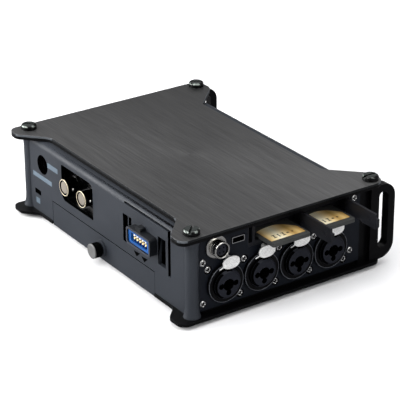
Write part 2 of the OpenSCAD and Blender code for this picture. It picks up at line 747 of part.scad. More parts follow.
chassis();
top_cover();
bottom_cover();
corner_screws();
panel_screws();
rubber_feet();
side_panels();
guard_handles();
combo_housings();
combo_inserts();
bnc_jacks();
jack_sockets();
power_inlet();
side_ports();
capsule_shroud();
capsule_insert();
sd_bay();
front_panel();
display_lens();
main_board();
battery_drawer();
battery_cells();
thumbscrew();
sd_door(0);  // sd_door_1
sd_door(1);  // sd_door_2
sd_card(0);  // sd_card_1
sd_card(1);  // sd_card_2
latch(1);  // latch_1
latch(2);  // latch_2
latch(3);  // latch_3
latch(4);  // latch_4
latch(5);  // latch_5
latch(6);  // latch_6
latch(7);  // latch_7
latch(8);  // latch_8
trim_knob(1);  // trim_knob_1
trim_knob(2);  // trim_knob_2
trim_knob(3);  // trim_knob_3
trim_knob(4);  // trim_knob_4
trim_knob(5);  // trim_knob_5
trim_knob(6);  // trim_knob_6
trim_knob(7);  // trim_knob_7
trim_knob(8);  // trim_knob_8
pfl_key(1);  // pfl_key_1
pfl_key(2);  // pfl_key_2
pfl_key(3);  // pfl_key_3
pfl_key(4);  // pfl_key_4
pfl_key(5);  // pfl_key_5
pfl_key(6);  // pfl_key_6
pfl_key(7);  // pfl_key_7
pfl_key(8);  // pfl_key_8
transport_key(0);  // rewind_key
transport_key(1);  // stop_key
transport_key(2);  // play_key
transport_key(3);  // forward_key
transport_key(4);  // record_key
menu_key();
power_key();
select_knob();
volume_knob();
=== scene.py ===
"""Looks of the portable field recorder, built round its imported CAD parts.

Pieces are modelled in millimetres in the row frame and turned into metres when they are finished.
"""

import json
import math

import bmesh
import bpy
from mathutils import Matrix, Vector

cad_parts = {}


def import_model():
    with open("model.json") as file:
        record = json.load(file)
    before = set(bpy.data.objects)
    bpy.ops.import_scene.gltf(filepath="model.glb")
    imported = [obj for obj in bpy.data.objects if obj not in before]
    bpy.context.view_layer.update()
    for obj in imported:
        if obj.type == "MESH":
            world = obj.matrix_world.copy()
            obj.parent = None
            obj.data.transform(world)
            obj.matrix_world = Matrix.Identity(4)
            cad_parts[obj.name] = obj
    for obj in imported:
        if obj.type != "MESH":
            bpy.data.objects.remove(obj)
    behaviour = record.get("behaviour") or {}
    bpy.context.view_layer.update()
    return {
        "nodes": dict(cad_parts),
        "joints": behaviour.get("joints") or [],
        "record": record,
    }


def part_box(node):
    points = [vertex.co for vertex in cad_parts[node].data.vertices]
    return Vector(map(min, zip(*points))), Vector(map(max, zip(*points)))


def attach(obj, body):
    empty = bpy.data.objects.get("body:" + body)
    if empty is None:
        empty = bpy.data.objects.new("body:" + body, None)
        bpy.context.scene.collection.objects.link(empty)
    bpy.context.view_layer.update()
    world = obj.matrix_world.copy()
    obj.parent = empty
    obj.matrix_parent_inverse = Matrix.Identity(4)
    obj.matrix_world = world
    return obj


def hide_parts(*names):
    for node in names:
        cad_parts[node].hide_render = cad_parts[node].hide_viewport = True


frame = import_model()

MM = 0.001
NODES = frame["nodes"]
MOUNTS = {m["name"]: m for m in frame["record"]["mounts"]}
JOINTS = {j["name"]: j for j in frame["joints"]}
X, Y, Z = Vector((1, 0, 0)), Vector((0, 1, 0)), Vector((0, 0, 1))
CHANNELS = range(1, 9)


def in_mm(metres):
    return Vector(metres) / MM


def link(name, data):
    """Adds an object with this data to the scene."""
    obj = bpy.data.objects.new(name, data)
    bpy.context.scene.collection.objects.link(obj)
    return obj


def round_edges(obj, width, segments, angle):
    """Bevel of this width in mm on every edge sharper than angle in degrees."""
    bevel = obj.modifiers.new("bevel", "BEVEL")
    bevel.width = width * MM
    bevel.segments = segments
    bevel.limit_method = "ANGLE"
    bevel.angle_limit = math.radians(angle)
    return bevel


def box_mm(node):
    """Lowest corner, highest corner and centre of a CAD node."""
    low, high = (in_mm(corner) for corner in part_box(node))
    return low, high, (low + high) / 2


def linear(*srgb):
    """Linear colour from 0 to 255 screen values."""
    return tuple((v / 255) ** 2.2 for v in srgb) + (1.0,)


# ---------------------------------------------------------------- materials


class Tree:
    """Adds shader nodes to a tree and links them."""

    def __init__(self, tree):
        self.tree = tree

    def put(self, socket, value):
        if isinstance(value, bpy.types.NodeSocket):
            self.tree.links.new(value, socket)
        else:
            socket.default_value = value

    def add(self, kind, inputs=None, **settings):
        node = self.tree.nodes.new(kind)
        for key, value in settings.items():
            setattr(node, key, value)
        for key, value in (inputs or {}).items():
            self.put(node.inputs[key], value)
        return node

    def ramp(self, value, stops):
        node = self.add("ShaderNodeValToRGB", {"Fac": value})
        points = node.color_ramp.elements
        while len(points) < len(stops):
            points.new(0.5)
        for point, (position, colour) in zip(points, stops):
            point.position = position
            point.color = colour
        return node.outputs["Color"]


class Graph(Tree):
    """A new material, with the sums that its look is built from."""

    def __init__(self, name):
        self.material = bpy.data.materials.new(name)
        self.material.use_nodes = True
        super().__init__(self.material.node_tree)
        self.bsdf = self.tree.nodes["Principled BSDF"]
        self.place = self.add("ShaderNodeTexCoord").outputs["Object"]

    def noise(self, scale, detail=2.0, stretch=(1, 1, 1), rough=0.5):
        """Noise from 0 to 1; scale is in cells per metre, and stretch multiplies it per axis."""
        mapping = self.add("ShaderNodeMapping", {"Vector": self.place, "Scale": stretch})
        texture = self.add(
            "ShaderNodeTexNoise",
            {"Vector": mapping.outputs[0], "Scale": scale, "Detail": detail, "Roughness": rough},
        )
        return texture.outputs["Fac"]

    def span(self, value, low, high, start=0.3, end=0.7):
        """Maps value from start..end to low..high, clamped."""
        node = self.add(
            "ShaderNodeMapRange",
            {"Value": value, "From Min": start, "From Max": end, "To Min": low, "To Max": high},
        )
        return node.outputs["Result"]

    def product(self, a, b):
        return self.math("MULTIPLY", a, b)

    def math(self, operation, a, b=0.0):
        node = self.add("ShaderNodeMath", operation=operation)
        self.put(node.inputs[0], a)
        self.put(node.inputs[1], b)
        return node.outputs[0]

    def mix(self, share, a, b, blend="MIX"):
        node = self.add("ShaderNodeMix", data_type="RGBA", blend_type=blend)
        self.put(node.inputs[0], share)
        self.put(node.inputs[6], a)
        self.put(node.inputs[7], b)
        return node.outputs[2]

    def shade(self, colour, factor):
        """Colour times a grey factor."""
        grey = self.add("ShaderNodeCombineColor")
        for channel in range(3):
            self.put(grey.inputs[channel], factor)
        return self.mix(1.0, colour, grey.outputs[0], "MULTIPLY")

    def edge(self, radius=0.35):
        """About 1 along convex and concave edges, 0 on flats."""
        bevel = self.add("ShaderNodeBevel", {"Radius": radius * MM}, samples=4)
        geometry = self.add("ShaderNodeNewGeometry")
        dot = self.add("ShaderNodeVectorMath", operation="DOT_PRODUCT")
        self.put(dot.inputs[0], bevel.outputs[0])
        self.put(dot.inputs[1], geometry.outputs["Normal"])
        return self.span(dot.outputs["Value"], 1.0, 0.0, 0.85, 0.99)

    def bump(self, height, strength, distance=0.00002):
        node = self.add("ShaderNodeBump", {"Height": height, "Strength": strength, "Distance": distance})
        self.put(self.bsdf.inputs["Normal"], node.outputs[0])

    def finish(self, colour, rough, metal=0.0, **more):
        self.put(self.bsdf.inputs["Base Color"], colour)
        self.put(self.bsdf.inputs["Roughness"], rough)
        self.put(self.bsdf.inputs["Metallic"], metal)
        for key, value in more.items():
            self.put(self.bsdf.inputs[key.replace("_", " ")], value)
        return self.material


def paint(name, srgb, rough, highlight_colour, highlight_share, specular):
    """Sprayed coat: fine orange peel, faint mottling and a painted highlight that lightens its edges, broken
    up by noise.
    """
    g = Graph(name)
    mottle = g.noise(55, 3)
    peel = g.noise(2600, 2)
    tone = g.shade(linear(*srgb), g.span(mottle, 0.93, 1.07))
    tone = g.shade(tone, g.span(peel, 0.92, 1.08))
    # Painted highlight: the edges are mixed towards a lighter colour, in spots set by noise.
    edge_highlight = g.product(g.edge(), g.span(g.noise(420, 4), 0.25, 1.0))
    edge_highlight = g.product(edge_highlight, highlight_share)
    tone = g.mix(edge_highlight, tone, linear(*highlight_colour))
    g.bump(peel, 0.25)
    return g.finish(tone, g.span(mottle, rough - 0.05, rough + 0.07), IOR=1.45, Specular_IOR_Level=specular)


def plastic(name, srgb, rough, grain=3400, grain_depth=0.18, specular=0.5, edge_highlight=0.2):
    """Moulded plastic: spark-eroded grain, slight change of gloss and a painted highlight that lightens its
    edges.
    """
    g = Graph(name)
    colour = linear(*srgb)
    grain_noise = g.noise(grain, 2)
    broad = g.noise(90, 3)
    tone = g.shade(colour, g.span(broad, 0.9, 1.1))
    # Lighter copy of the colour for the painted edge highlight.
    highlight_colour = tuple(min(1, c * 2.2 + 0.01) for c in colour[:3]) + (1,)
    tone = g.mix(g.product(g.edge(0.2), edge_highlight), tone, highlight_colour)
    g.bump(grain_noise, grain_depth)
    return g.finish(tone, g.span(broad, rough - 0.06, rough + 0.06), IOR=1.47, Specular_IOR_Level=specular)


def metal(name, srgb, rough, grain=1800, depth=0.1, contrast=0.06, share=1.0):
    """Bare or plated metal with fine tool marks and a little tarnish; share is how metallic it is."""
    g = Graph(name)
    marks = g.noise(grain, 3)
    tarnish = g.noise(160, 4)
    tone = g.shade(linear(*srgb), g.span(tarnish, 1 - contrast, 1 + contrast))
    tone = g.shade(tone, g.span(marks, 1 - contrast, 1 + contrast))
    g.bump(marks, depth)
    return g.finish(tone, g.span(tarnish, rough * 0.8, rough * 1.25), share)


def polished_black():
    """Black polished screw head with painted highlights: bright spots round its shoulder, a lighter flat
    crown and a light line on its edges.
    """
    g = Graph("dark_chrome")
    normal = g.add("ShaderNodeNewGeometry").outputs["Normal"]
    up = g.add("ShaderNodeSeparateXYZ", {"Vector": normal}).outputs["Z"]
    # Painted highlights standing in for reflections: spots on the shoulder, a lighter grey on the flat
    # crown, a near-white line on the edges.
    shoulder = g.product(g.span(up, 0.0, 1.0, 0.12, 0.4), g.span(up, 1.0, 0.0, 0.8, 0.97))
    painted_glints = g.span(g.noise(230, 1), 0.0, 1.0, 0.47, 0.55)
    crown = g.span(up, 0.0, 0.7, 0.97, 0.995)
    tone = g.mix(crown, linear(7, 8, 8), linear(52, 58, 56))
    tone = g.mix(g.product(shoulder, painted_glints), tone, linear(128, 136, 130))
    tone = g.mix(g.product(g.edge(0.25), 0.3), tone, linear(170, 178, 172))
    g.bump(g.noise(1800, 3), 0.03)
    return g.finish(tone, g.span(g.noise(500, 3), 0.14, 0.22), 0.35, Specular_IOR_Level=0.4)


def brushed_cover():
    """Dark anodised sheet with brush lines along X, painted lighter towards -X and lightest at the -X -Y
    corner, with a painted highlight along its edges.
    """
    g = Graph("brushed_cover")
    fine = g.noise(3600, 2, (0.012, 1, 0.05))
    lines = g.noise(1700, 3, (0.010, 1, 0.05), 0.6)
    broad = g.noise(120, 2, (0.05, 1, 0.1))
    cloud = g.noise(14, 2)
    colour = linear(88, 88, 88)
    tone = g.shade(colour, g.span(fine, 0.76, 1.24))
    tone = g.shade(tone, g.span(lines, 0.84, 1.17))
    tone = g.shade(tone, g.span(broad, 0.98, 1.02))
    tone = g.shade(tone, g.span(cloud, 0.97, 1.03))
    parts = g.add("ShaderNodeSeparateXYZ", {"Vector": g.place}).outputs
    # Painted light: a broad gradient, lighter towards -X, lightest at the -X -Y corner and darkest at the +X
    # -Y corner.
    left = g.span(parts["X"], 1.0, -1.0, -0.09, 0.09)
    left_front = g.product(left, g.span(parts["Y"], 1.0, -1.0, -0.06, 0.06))
    painted_light_gradient = g.math("ADD", g.product(left, 0.2), g.product(left_front, 0.17))
    tone = g.shade(tone, g.math("ADD", painted_light_gradient, 1.08))
    # Painted highlight along the edges.
    tone = g.mix(g.product(g.edge(0.3), 0.7), tone, linear(128, 130, 132))
    scratches = g.math("ADD", fine, lines)
    g.bump(scratches, 0.25, 0.00001)
    tangent = g.add("ShaderNodeTangent", direction_type="RADIAL", axis="Z")
    g.put(g.bsdf.inputs["Tangent"], tangent.outputs[0])
    return g.finish(tone, g.span(lines, 0.36, 0.48), 0.85, Anisotropic=0.35)


def rubber(name, srgb):
    g = Graph(name)
    speck = g.noise(5200, 2)
    dust = g.noise(300, 4)
    tone = g.shade(linear(*srgb), g.span(speck, 0.8, 1.25))
    tone = g.mix(g.span(dust, 0.0, 0.06, 0.5, 0.8), tone, linear(150, 148, 142))
    g.bump(speck, 0.35, 0.00003)
    return g.finish(tone, g.span(dust, 0.7, 0.85), Specular_IOR_Level=0.3)


def latch_metal():
    """Bright stamped sheet with a fine sparkling grain."""
    g = Graph("latch_metal")
    sparkle = g.noise(2600, 2, (1, 1, 1), 0.7)
    tone = g.ramp(sparkle, [(0.34, linear(206, 206, 204)), (0.66, linear(252, 252, 250))])
    tone = g.shade(tone, g.span(g.noise(260, 3), 0.92, 1.06))
    g.bump(sparkle, 0.4, 0.00004)
    return g.finish(tone, g.span(sparkle, 0.3, 0.5), 0.35)


def label_gold(left, right):
    """Card label: satin gold foil, pale in the middle and deeper to the right."""
    g = Graph("label_gold")
    parts = g.add("ShaderNodeSeparateXYZ", {"Vector": g.place})
    across = g.span(parts.outputs["Y"], 0.0, 1.0, left * MM, right * MM)
    foil = g.ramp(
        across,
        [
            (0.0, linear(196, 158, 96)),
            (0.12, linear(240, 216, 160)),
            (0.34, linear(255, 246, 214)),
            (0.56, linear(240, 210, 150)),
            (0.72, linear(188, 148, 84)),
            (0.86, linear(224, 190, 124)),
            (1.0, linear(178, 136, 72)),
        ],
    )
    flake = g.noise(5200, 2)
    foil = g.shade(foil, g.span(flake, 0.97, 1.03))
    g.bump(flake, 0.03)
    return g.finish(foil, g.span(g.noise(500, 2), 0.3, 0.38), 0.15, Coat_Weight=0.25, Coat_Roughness=0.15)


def lens_glass():
    """Tinted display window, clear enough to show the picture behind it."""
    g = Graph("lens_glass")
    smudge = g.noise(70, 4)
    g.bump(g.noise(900, 2), 0.01)
    return g.finish(
        linear(150, 160, 165), g.span(smudge, 0.03, 0.09), 0.0, Transmission_Weight=1.0, IOR=1.2
    )


def screen_picture(low, high):
    """Display face: a dark backlit panel, lighter towards the top, with a faint speckle."""
    g = Graph("screen_picture")
    speckle = g.noise(3000, 1)
    parts = g.add("ShaderNodeSeparateXYZ", {"Vector": g.place})
    height = g.span(parts.outputs["Z"], 0.0, 1.0, low.z * MM, high.z * MM)
    tone = g.ramp(height, [(0.0, linear(16, 22, 30)), (1.0, linear(26, 36, 48))])
    tone = g.shade(tone, g.span(speckle, 0.9, 1.1))
    g.put(g.bsdf.inputs["Emission Color"], tone)
    return g.finish(tone, 0.3, Emission_Strength=0.25)


def glow(name, srgb, strength):
    """Lit display segment."""
    g = Graph(name)
    tone = g.shade(linear(*srgb), g.span(g.noise(1800, 2), 0.9, 1.08))
    g.put(g.bsdf.inputs["Emission Color"], tone)
    return g.finish(tone, 0.4, Emission_Strength=strength)


def cell_sleeve():
    """Dark glossy shrink sleeve of a cell; its copper band is a piece of its own."""
    g = Graph("cell_sleeve")
    shine = g.noise(240, 3)
    tone = g.shade(linear(34, 35, 38), g.span(shine, 0.85, 1.15))
    g.bump(g.noise(1500, 3), 0.08)
    return g.finish(tone, g.span(shine, 0.24, 0.36), 0.0, Coat_Weight=0.3)


def board_green():
    g = Graph("board_green")
    tracks = g.add("ShaderNodeTexBrick", {"Vector": g.place, "Scale": 160.0, "Mortar Size": 0.06})
    g.put(tracks.inputs["Color1"], linear(20, 84, 58))
    g.put(tracks.inputs["Color2"], linear(24, 92, 62))
    g.put(tracks.inputs["Mortar"], linear(40, 120, 80))
    grain = g.noise(2000, 2)
    g.bump(tracks.outputs["Fac"], 0.1)
    return g.finish(g.shade(tracks.outputs["Color"], g.span(grain, 0.9, 1.1)), 0.4)


# Each paint is given the colour of its painted edge highlight and how strongly that highlight shows.
body_paint = paint("body_paint", (46, 49, 54), 0.46, highlight_colour=(84, 89, 97), highlight_share=0.15, specular=0.25)
panel_paint = paint("panel_paint", (23, 26, 32), 0.42, highlight_colour=(58, 63, 72), highlight_share=0.3, specular=0.2)
black_paint = paint("black_paint", (11, 11, 12), 0.34, highlight_colour=(44, 46, 50), highlight_share=0.35, specular=0.18)
housing_plastic = plastic("housing_plastic", (10, 10, 12), 0.3, specular=0.2)
insert_plastic = plastic("insert_plastic", (29, 31, 38), 0.42, specular=0.25)
shroud_plastic = plastic("shroud_plastic", (26, 28, 31), 0.34, specular=0.35)
blue_plastic = plastic("blue_plastic", (26, 76, 138), 0.32)
shaded_blue_plastic = plastic("shaded_blue_plastic", (6, 14, 58), 0.4, specular=0.1)
rim_highlight_plastic = plastic("rim_highlight_plastic", (54, 56, 62), 0.36, specular=0.3)
# The card bay's edges carry a strong painted highlight.
bay_plastic = plastic("bay_plastic", (26, 27, 31), 0.5, specular=0.3, edge_highlight=0.9)
card_plastic = plastic("card_plastic", (58, 59, 58), 0.45, specular=0.3)
socket_plastic = plastic("socket_plastic", (7, 7, 8), 0.5, specular=0.2)
gloss_black = plastic("gloss_black", (5, 5, 6), 0.14, grain_depth=0.03, specular=0.35)
front_plastic = plastic("front_plastic", (22, 23, 26), 0.5, grain=2600, grain_depth=0.3, specular=0.25)
knob_plastic = plastic("knob_plastic", (26, 27, 29), 0.5)
key_plastic = plastic("key_plastic", (104, 108, 114), 0.4)
key_clear = plastic("key_clear", (176, 178, 176), 0.3)
red_plastic = plastic("red_plastic", (160, 28, 24), 0.35)
# Near-black matte: painted shade inside holes, gaps, slots and recesses; also the printed triangles and the
# latch hooks.
void_black = plastic("void_black", (2, 2, 3), 0.8, specular=0.02)
beige_plastic = plastic("beige_plastic", (118, 111, 101), 0.4)
print_white = plastic("print_white", (150, 158, 168), 0.55, grain_depth=0.05)
print_blue = plastic("print_blue", (82, 95, 106), 0.5, grain_depth=0.05)
print_black = plastic("print_black", (16, 14, 12), 0.5, grain_depth=0.05)
dark_chrome = polished_black()
pale_gold = metal("pale_gold", (226, 214, 184), 0.3, depth=0.05, share=0.4)
zinc = metal("zinc", (206, 206, 204), 0.20)
nickel = metal("nickel", (214, 212, 206), 0.16, depth=0.05)
satin_steel = metal("satin_steel", (122, 122, 121), 0.38, 2600, depth=0.2, contrast=0.08, share=0.5)
rim_highlight_steel = metal("rim_highlight_steel", (112, 115, 121), 0.30, 2600, depth=0.1, contrast=0.08, share=0.6)
dark_steel = metal("dark_steel", (30, 31, 31), 0.32, 2600, depth=0.2, contrast=0.1)
gold = metal("gold", (226, 178, 92), 0.22, depth=0.05)
contact_gold = metal("contact_gold", (250, 222, 160), 0.3, depth=0.05, share=0.35)
# Shaded and lit copies of the cover's edge metal: painted shade on the straight edges, painted highlight at
# the ears.
cover_edge_shaded = metal("cover_edge_shaded", (24, 26, 28), 0.4, 2600, contrast=0.1, share=0.3)
cover_ear_edge_lit = metal("cover_ear_edge_lit", (84, 88, 92), 0.4, 2600, contrast=0.1, share=0.3)
cover_metal = brushed_cover()
feet_rubber = rubber("feet_rubber", (30, 30, 31))
knob_rubber = rubber("knob_rubber", (34, 34, 36))
latch_bright = latch_metal()
board = board_green()
sleeve = cell_sleeve()
lens = lens_glass()


# ---------------------------------------------------------------- CAD nodes


# Area in square metres from which an upright face is shaded flat.
BIG_FACE = 0.0002
# A normal whose largest part is over this lies along an axis.
ALONG_AXIS = 0.9999
TINY_FACE = 1e-12


def dress(node, *materials, edge=0.25, segments=3, angle=32, pick=None, join_flats=False):
    """Gives a CAD node its materials and rounds its sharp edges.

    pick(centre, normal) chooses a material index; join_flats merges the triangles of flat faces first.
    """
    obj = NODES[node]
    mesh = obj.data
    mesh.materials.clear()
    for material in materials:
        mesh.materials.append(material)
    for face in mesh.polygons:
        level = abs(face.normal.z) > ALONG_AXIS or face.area < TINY_FACE
        upright = max(abs(face.normal.x), abs(face.normal.y)) > ALONG_AXIS and face.area > BIG_FACE
        face.use_smooth = not (level or upright)
        face.material_index = pick(face.center / MM, face.normal) if pick else 0
    if "custom_normal" in mesh.attributes:
        mesh.attributes.remove(mesh.attributes["custom_normal"])
    weld = obj.modifiers.new("weld", "WELD")
    weld.merge_threshold = 0.000002
    if join_flats:
        planar = obj.modifiers.new("planar", "DECIMATE")
        planar.decimate_type = "DISSOLVE"
        planar.angle_limit = math.radians(0.3)
        planar.delimit = {"MATERIAL"}
    if edge:
        round_edges(obj, edge, segments, angle).miter_outer = "MITER_ARC"
    flat = obj.modifiers.new("normals", "WEIGHTED_NORMAL")
    flat.weight = 50
    flat.keep_sharp = False
    return obj


def loose_boxes(node):
    """(low, high) in mm of each separate solid in a CAD node, found by joining vertices at one place."""
    mesh = NODES[node].data
    parent = {}

    def root(a):
        while parent[a] != a:
            parent[a] = parent[parent[a]]
            a = parent[a]
        return a

    keys = [tuple(round(c * 1e6) for c in v.co) for v in mesh.vertices]
    for key in keys:
        parent.setdefault(key, key)
    for face in mesh.polygons:
        first = root(keys[face.vertices[0]])
        for index in face.vertices[1:]:
            parent[root(keys[index])] = first
    groups = {}
    for key in parent:
        groups.setdefault(root(key), []).append(key)
    boxes = []
    for points in groups.values():
        low = Vector([min(p[axis] for p in points) for axis in range(3)]) / 1000
        high = Vector([max(p[axis] for p in points) for axis in range(3)]) / 1000
        boxes.append((low, high))
    return sorted(boxes, key=lambda pair: tuple(pair[0]))


# ---------------------------------------------------------------- mesh tools


def axes_for(direction):
    """Two unit vectors square to direction, the first as level as it can be."""
    d = direction.normalized()
    side = Z.cross(d) if abs(d.z) < 0.9 else X.copy()
    side.normalize()
    return side, d.cross(side)


# Which ends of a loft are closed: none, the first, the last or both.
OPEN, FOOT, TIP, BOTH = (False, False), (True, False), (False, True), (True, True)


def loft(bm, rings, closed_ends=OPEN, material=0):
    """Skins rings of points, each a closed loop with the same number of points."""
    loops = [[bm.verts.new(p) for p in ring] for ring in rings]
    count = len(rings[0])
    faces = []
    for lower, upper in zip(loops, loops[1:]):
        for i in range(count):
            j = (i + 1) % count
            faces.append(bm.faces.new((lower[i], lower[j], upper[j], upper[i])))
    if closed_ends[0]:
        faces.append(bm.faces.new(list(reversed(loops[0]))))
    if closed_ends[1]:
        faces.append(bm.faces.new(loops[-1]))
    for face in faces:
        face.material_index = material


def lathe(bm, profile, at, direction, steps=48, closed_ends=BOTH, material=0, wave=None):
    """Turns (radius, height) points round direction. wave(angle, height) adds to the radius."""
    u, v = axes_for(direction)
    d = direction.normalized()
    rings = []
    for radius, height in profile:
        ring = []
        for i in range(steps):
            angle = 2 * math.pi * i / steps
            r = radius + (wave(angle, height) if wave else 0)
            ring.append(at + d * height + (u * math.cos(angle) + v * math.sin(angle)) * r)
        rings.append(ring)
    loft(bm, rings, closed_ends, material)


def ellipse(width, height, power=2.0, steps=40):
    """Superellipse outline; a higher power is squarer."""
    points = []
    for i in range(steps):
        angle = 2 * math.pi * i / steps
        c, s = math.cos(angle), math.sin(angle)
        x = width / 2 * math.copysign(abs(c) ** (2 / power), c)
        y = height / 2 * math.copysign(abs(s) ** (2 / power), s)
        points.append((x, y))
    return points


def plate(bm, outline, at, direction, thickness, edge=0.2, material=0, steps=3):
    """Flat plate with its back at at, rounded on its front edge."""
    u, v = axes_for(direction)
    d = direction.normalized()
    size = max(max(abs(a), abs(b)) for a, b in outline)

    def ring(inset, height):
        scale = 1 - inset / size
        return [at + u * a * scale + v * b * scale + d * height for a, b in outline]

    rings = [ring(0, 0), ring(0, thickness - edge)]
    for i in range(1, steps + 1):
        angle = math.pi / 2 * i / steps
        rings.append(ring(edge * (1 - math.cos(angle)), thickness - edge + edge * math.sin(angle)))
    loft(bm, rings, BOTH, material)


def brick(bm, low, high, material=0):
    verts = []
    for c in (low[2], high[2]):
        for b in (low[1], high[1]):
            for a in (low[0], high[0]):
                verts.append(bm.verts.new(Vector((a, b, c))))
    for quad in ((0, 2, 3, 1), (4, 5, 7, 6), (0, 1, 5, 4), (2, 6, 7, 3), (0, 4, 6, 2), (1, 3, 7, 5)):
        face = bm.faces.new([verts[i] for i in quad])
        face.material_index = material


def tube(bm, points, radius, steps=10, material=0):
    """Round wire along points."""
    rings = []
    for i, point in enumerate(points):
        ahead = points[min(i + 1, len(points) - 1)] - points[max(i - 1, 0)]
        u, v = axes_for(ahead)
        ring = []
        for k in range(steps):
            angle = 2 * math.pi * k / steps
            ring.append(point + (u * math.cos(angle) + v * math.sin(angle)) * radius)
        rings.append(ring)
    loft(bm, rings, BOTH, material)


def spoke(radius, degrees):
    """Vector of this length in the YZ plane, at an angle from +Y towards +Z."""
    angle = math.radians(degrees)
    return Vector((0, radius * math.cos(angle), radius * math.sin(angle)))


def flat_mark(bm, points, start, end):
    """Thin mark with an outline of (x, z) points, from start to end along Y."""
    loft(bm, [[Vector((x, y, z)) for x, z in points] for y in (start, end)], BOTH)


def fade(distance, over):
    """Rises from 0 to 1 over a distance."""
    return min(1, max(0, distance / over))


def piece(name, body, materials, build, edge=0.0, segments=2, stands_for=()):
    """Makes one piece from build(bm), in mm, and rides it on a CAD body."""
    bm = bmesh.new()
    build(bm)
    bm.transform(Matrix.Scale(MM, 4))
    bmesh.ops.recalc_face_normals(bm, faces=bm.faces)
    mesh = bpy.data.meshes.new(name)
    bm.to_mesh(mesh)
    bm.free()
    for material in materials:
        mesh.materials.append(material)
    obj = link(name, mesh)
    for face in mesh.polygons:
        face.use_smooth = True
    if edge:
        round_edges(obj, edge, segments, 35)
    normals = obj.modifiers.new("normals", "WEIGHTED_NORMAL")
    normals.weight = 50
    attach(obj, body)
    if stands_for:
        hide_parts(*stands_for)
    return obj


# ---------------------------------------------------------------- case

DRAWER_BOSS = 1.2
DRAWER_LOW, DRAWER_HIGH, _ = box_mm("battery_drawer")
DRAWER_X = (DRAWER_LOW.x, DRAWER_HIGH.x)
DRAWER_TOP = 13.6
REAR_Y = DRAWER_HIGH.y - DRAWER_BOSS
WALL_DEPTH = 3
FLANGE_Z = box_mm("guard_handles")[1].z


# Openings of the rear wall, as (left, right) along X and (low, high) along Z.
WINDOW_X, WINDOW_Z = (10, 45), (18, 43)
POWER_X, POWER_Z = (59, 76), (10, 40)
GROOVE_X = (-72, -15)
SLOT_X, SLOT_LOW = (-30, -18), 15


def within(value, limits):
    return limits[0] < value < limits[1]


def chassis_finish(centre, normal):
    """Body paint, black on the flange edge, and near-black as painted shade inside the openings, groove,
    slot and drawer seam of the rear wall.
    """
    if centre.z > FLANGE_Z + 0.05 or normal.z < -0.9 and centre.z > FLANGE_Z - 0.05:
        return 1
    if REAR_Y - WALL_DEPTH < centre.y < REAR_Y - 0.3 and abs(normal.y) < 0.6:
        in_window = within(centre.x, WINDOW_X) and within(centre.z, WINDOW_Z)
        in_power_hole = within(centre.x, POWER_X) and within(centre.z, POWER_Z)
        in_drawer_gap = DRAWER_X[0] - 1 < centre.x < DRAWER_X[1] + 1 and centre.z < DRAWER_TOP + 1
        in_groove = centre.y > REAR_Y - 0.9 and within(centre.x, GROOVE_X) and abs(normal.x) > 0.5
        in_slot = within(centre.x, SLOT_X) and centre.z > SLOT_LOW
        return 2 if in_window or in_power_hole or in_drawer_gap or in_groove or in_slot else 0
    # Faces facing +Y set back behind the rear wall: painted shade.
    if normal.y > 0.9 and REAR_Y - 2 < centre.y < REAR_Y - 0.6:
        return 2
    return 0


dress("chassis", body_paint, black_paint, void_black, edge=0.35, pick=chassis_finish)
COVER_TOP = box_mm("top_cover")[1].z


def cover_finish(centre, normal):
    """Brushed faces; the sheared edges take a dark copy of the edge metal as painted shade, and a lighter
    copy as a painted highlight where they turn at the ears.
    """
    if abs(normal.z) > 0.5 or centre.z > COVER_TOP - 0.02:
        return 0
    return 1 if max(abs(normal.x), abs(normal.y)) > 0.985 else 2


dress("top_cover", cover_metal, cover_edge_shaded, cover_ear_edge_lit, edge=0.25, pick=cover_finish, join_flats=True)
dress("bottom_cover", black_paint, edge=0.3)
SCREW_CENTRES = [(low + high) / 2 for low, high in loose_boxes("corner_screws")]
SLOT_REACH = 1.3


def corner_screw_finish(centre, normal):
    """Dark plating; the slot is painted near-black as shade, and its walls facing towards +X and +Y take a
    lighter steel as a painted highlight.
    """
    nearest = min((centre - c).xy.length for c in SCREW_CENTRES)
    if nearest > SLOT_REACH or centre.z < FLANGE_Z + 3.5:
        return 0
    return 2 if normal.x + normal.y > 0.5 else 1


dress("corner_screws", dark_chrome, void_black, satin_steel, edge=0.3, pick=corner_screw_finish)
dress("rubber_feet", feet_rubber, edge=0)
dress("side_panels", panel_paint, edge=0.12, join_flats=True)
dress("guard_handles", black_paint, edge=0.8, segments=4)
dress("front_panel", front_plastic, edge=0.2, join_flats=True)
dress("main_board", board, edge=0)

PANEL_X = abs(box_mm("side_panels")[0].x)
SCREW_HEAD = 1.9
RECESS_ARM = 0.36
RECESS_REACH = 1.2


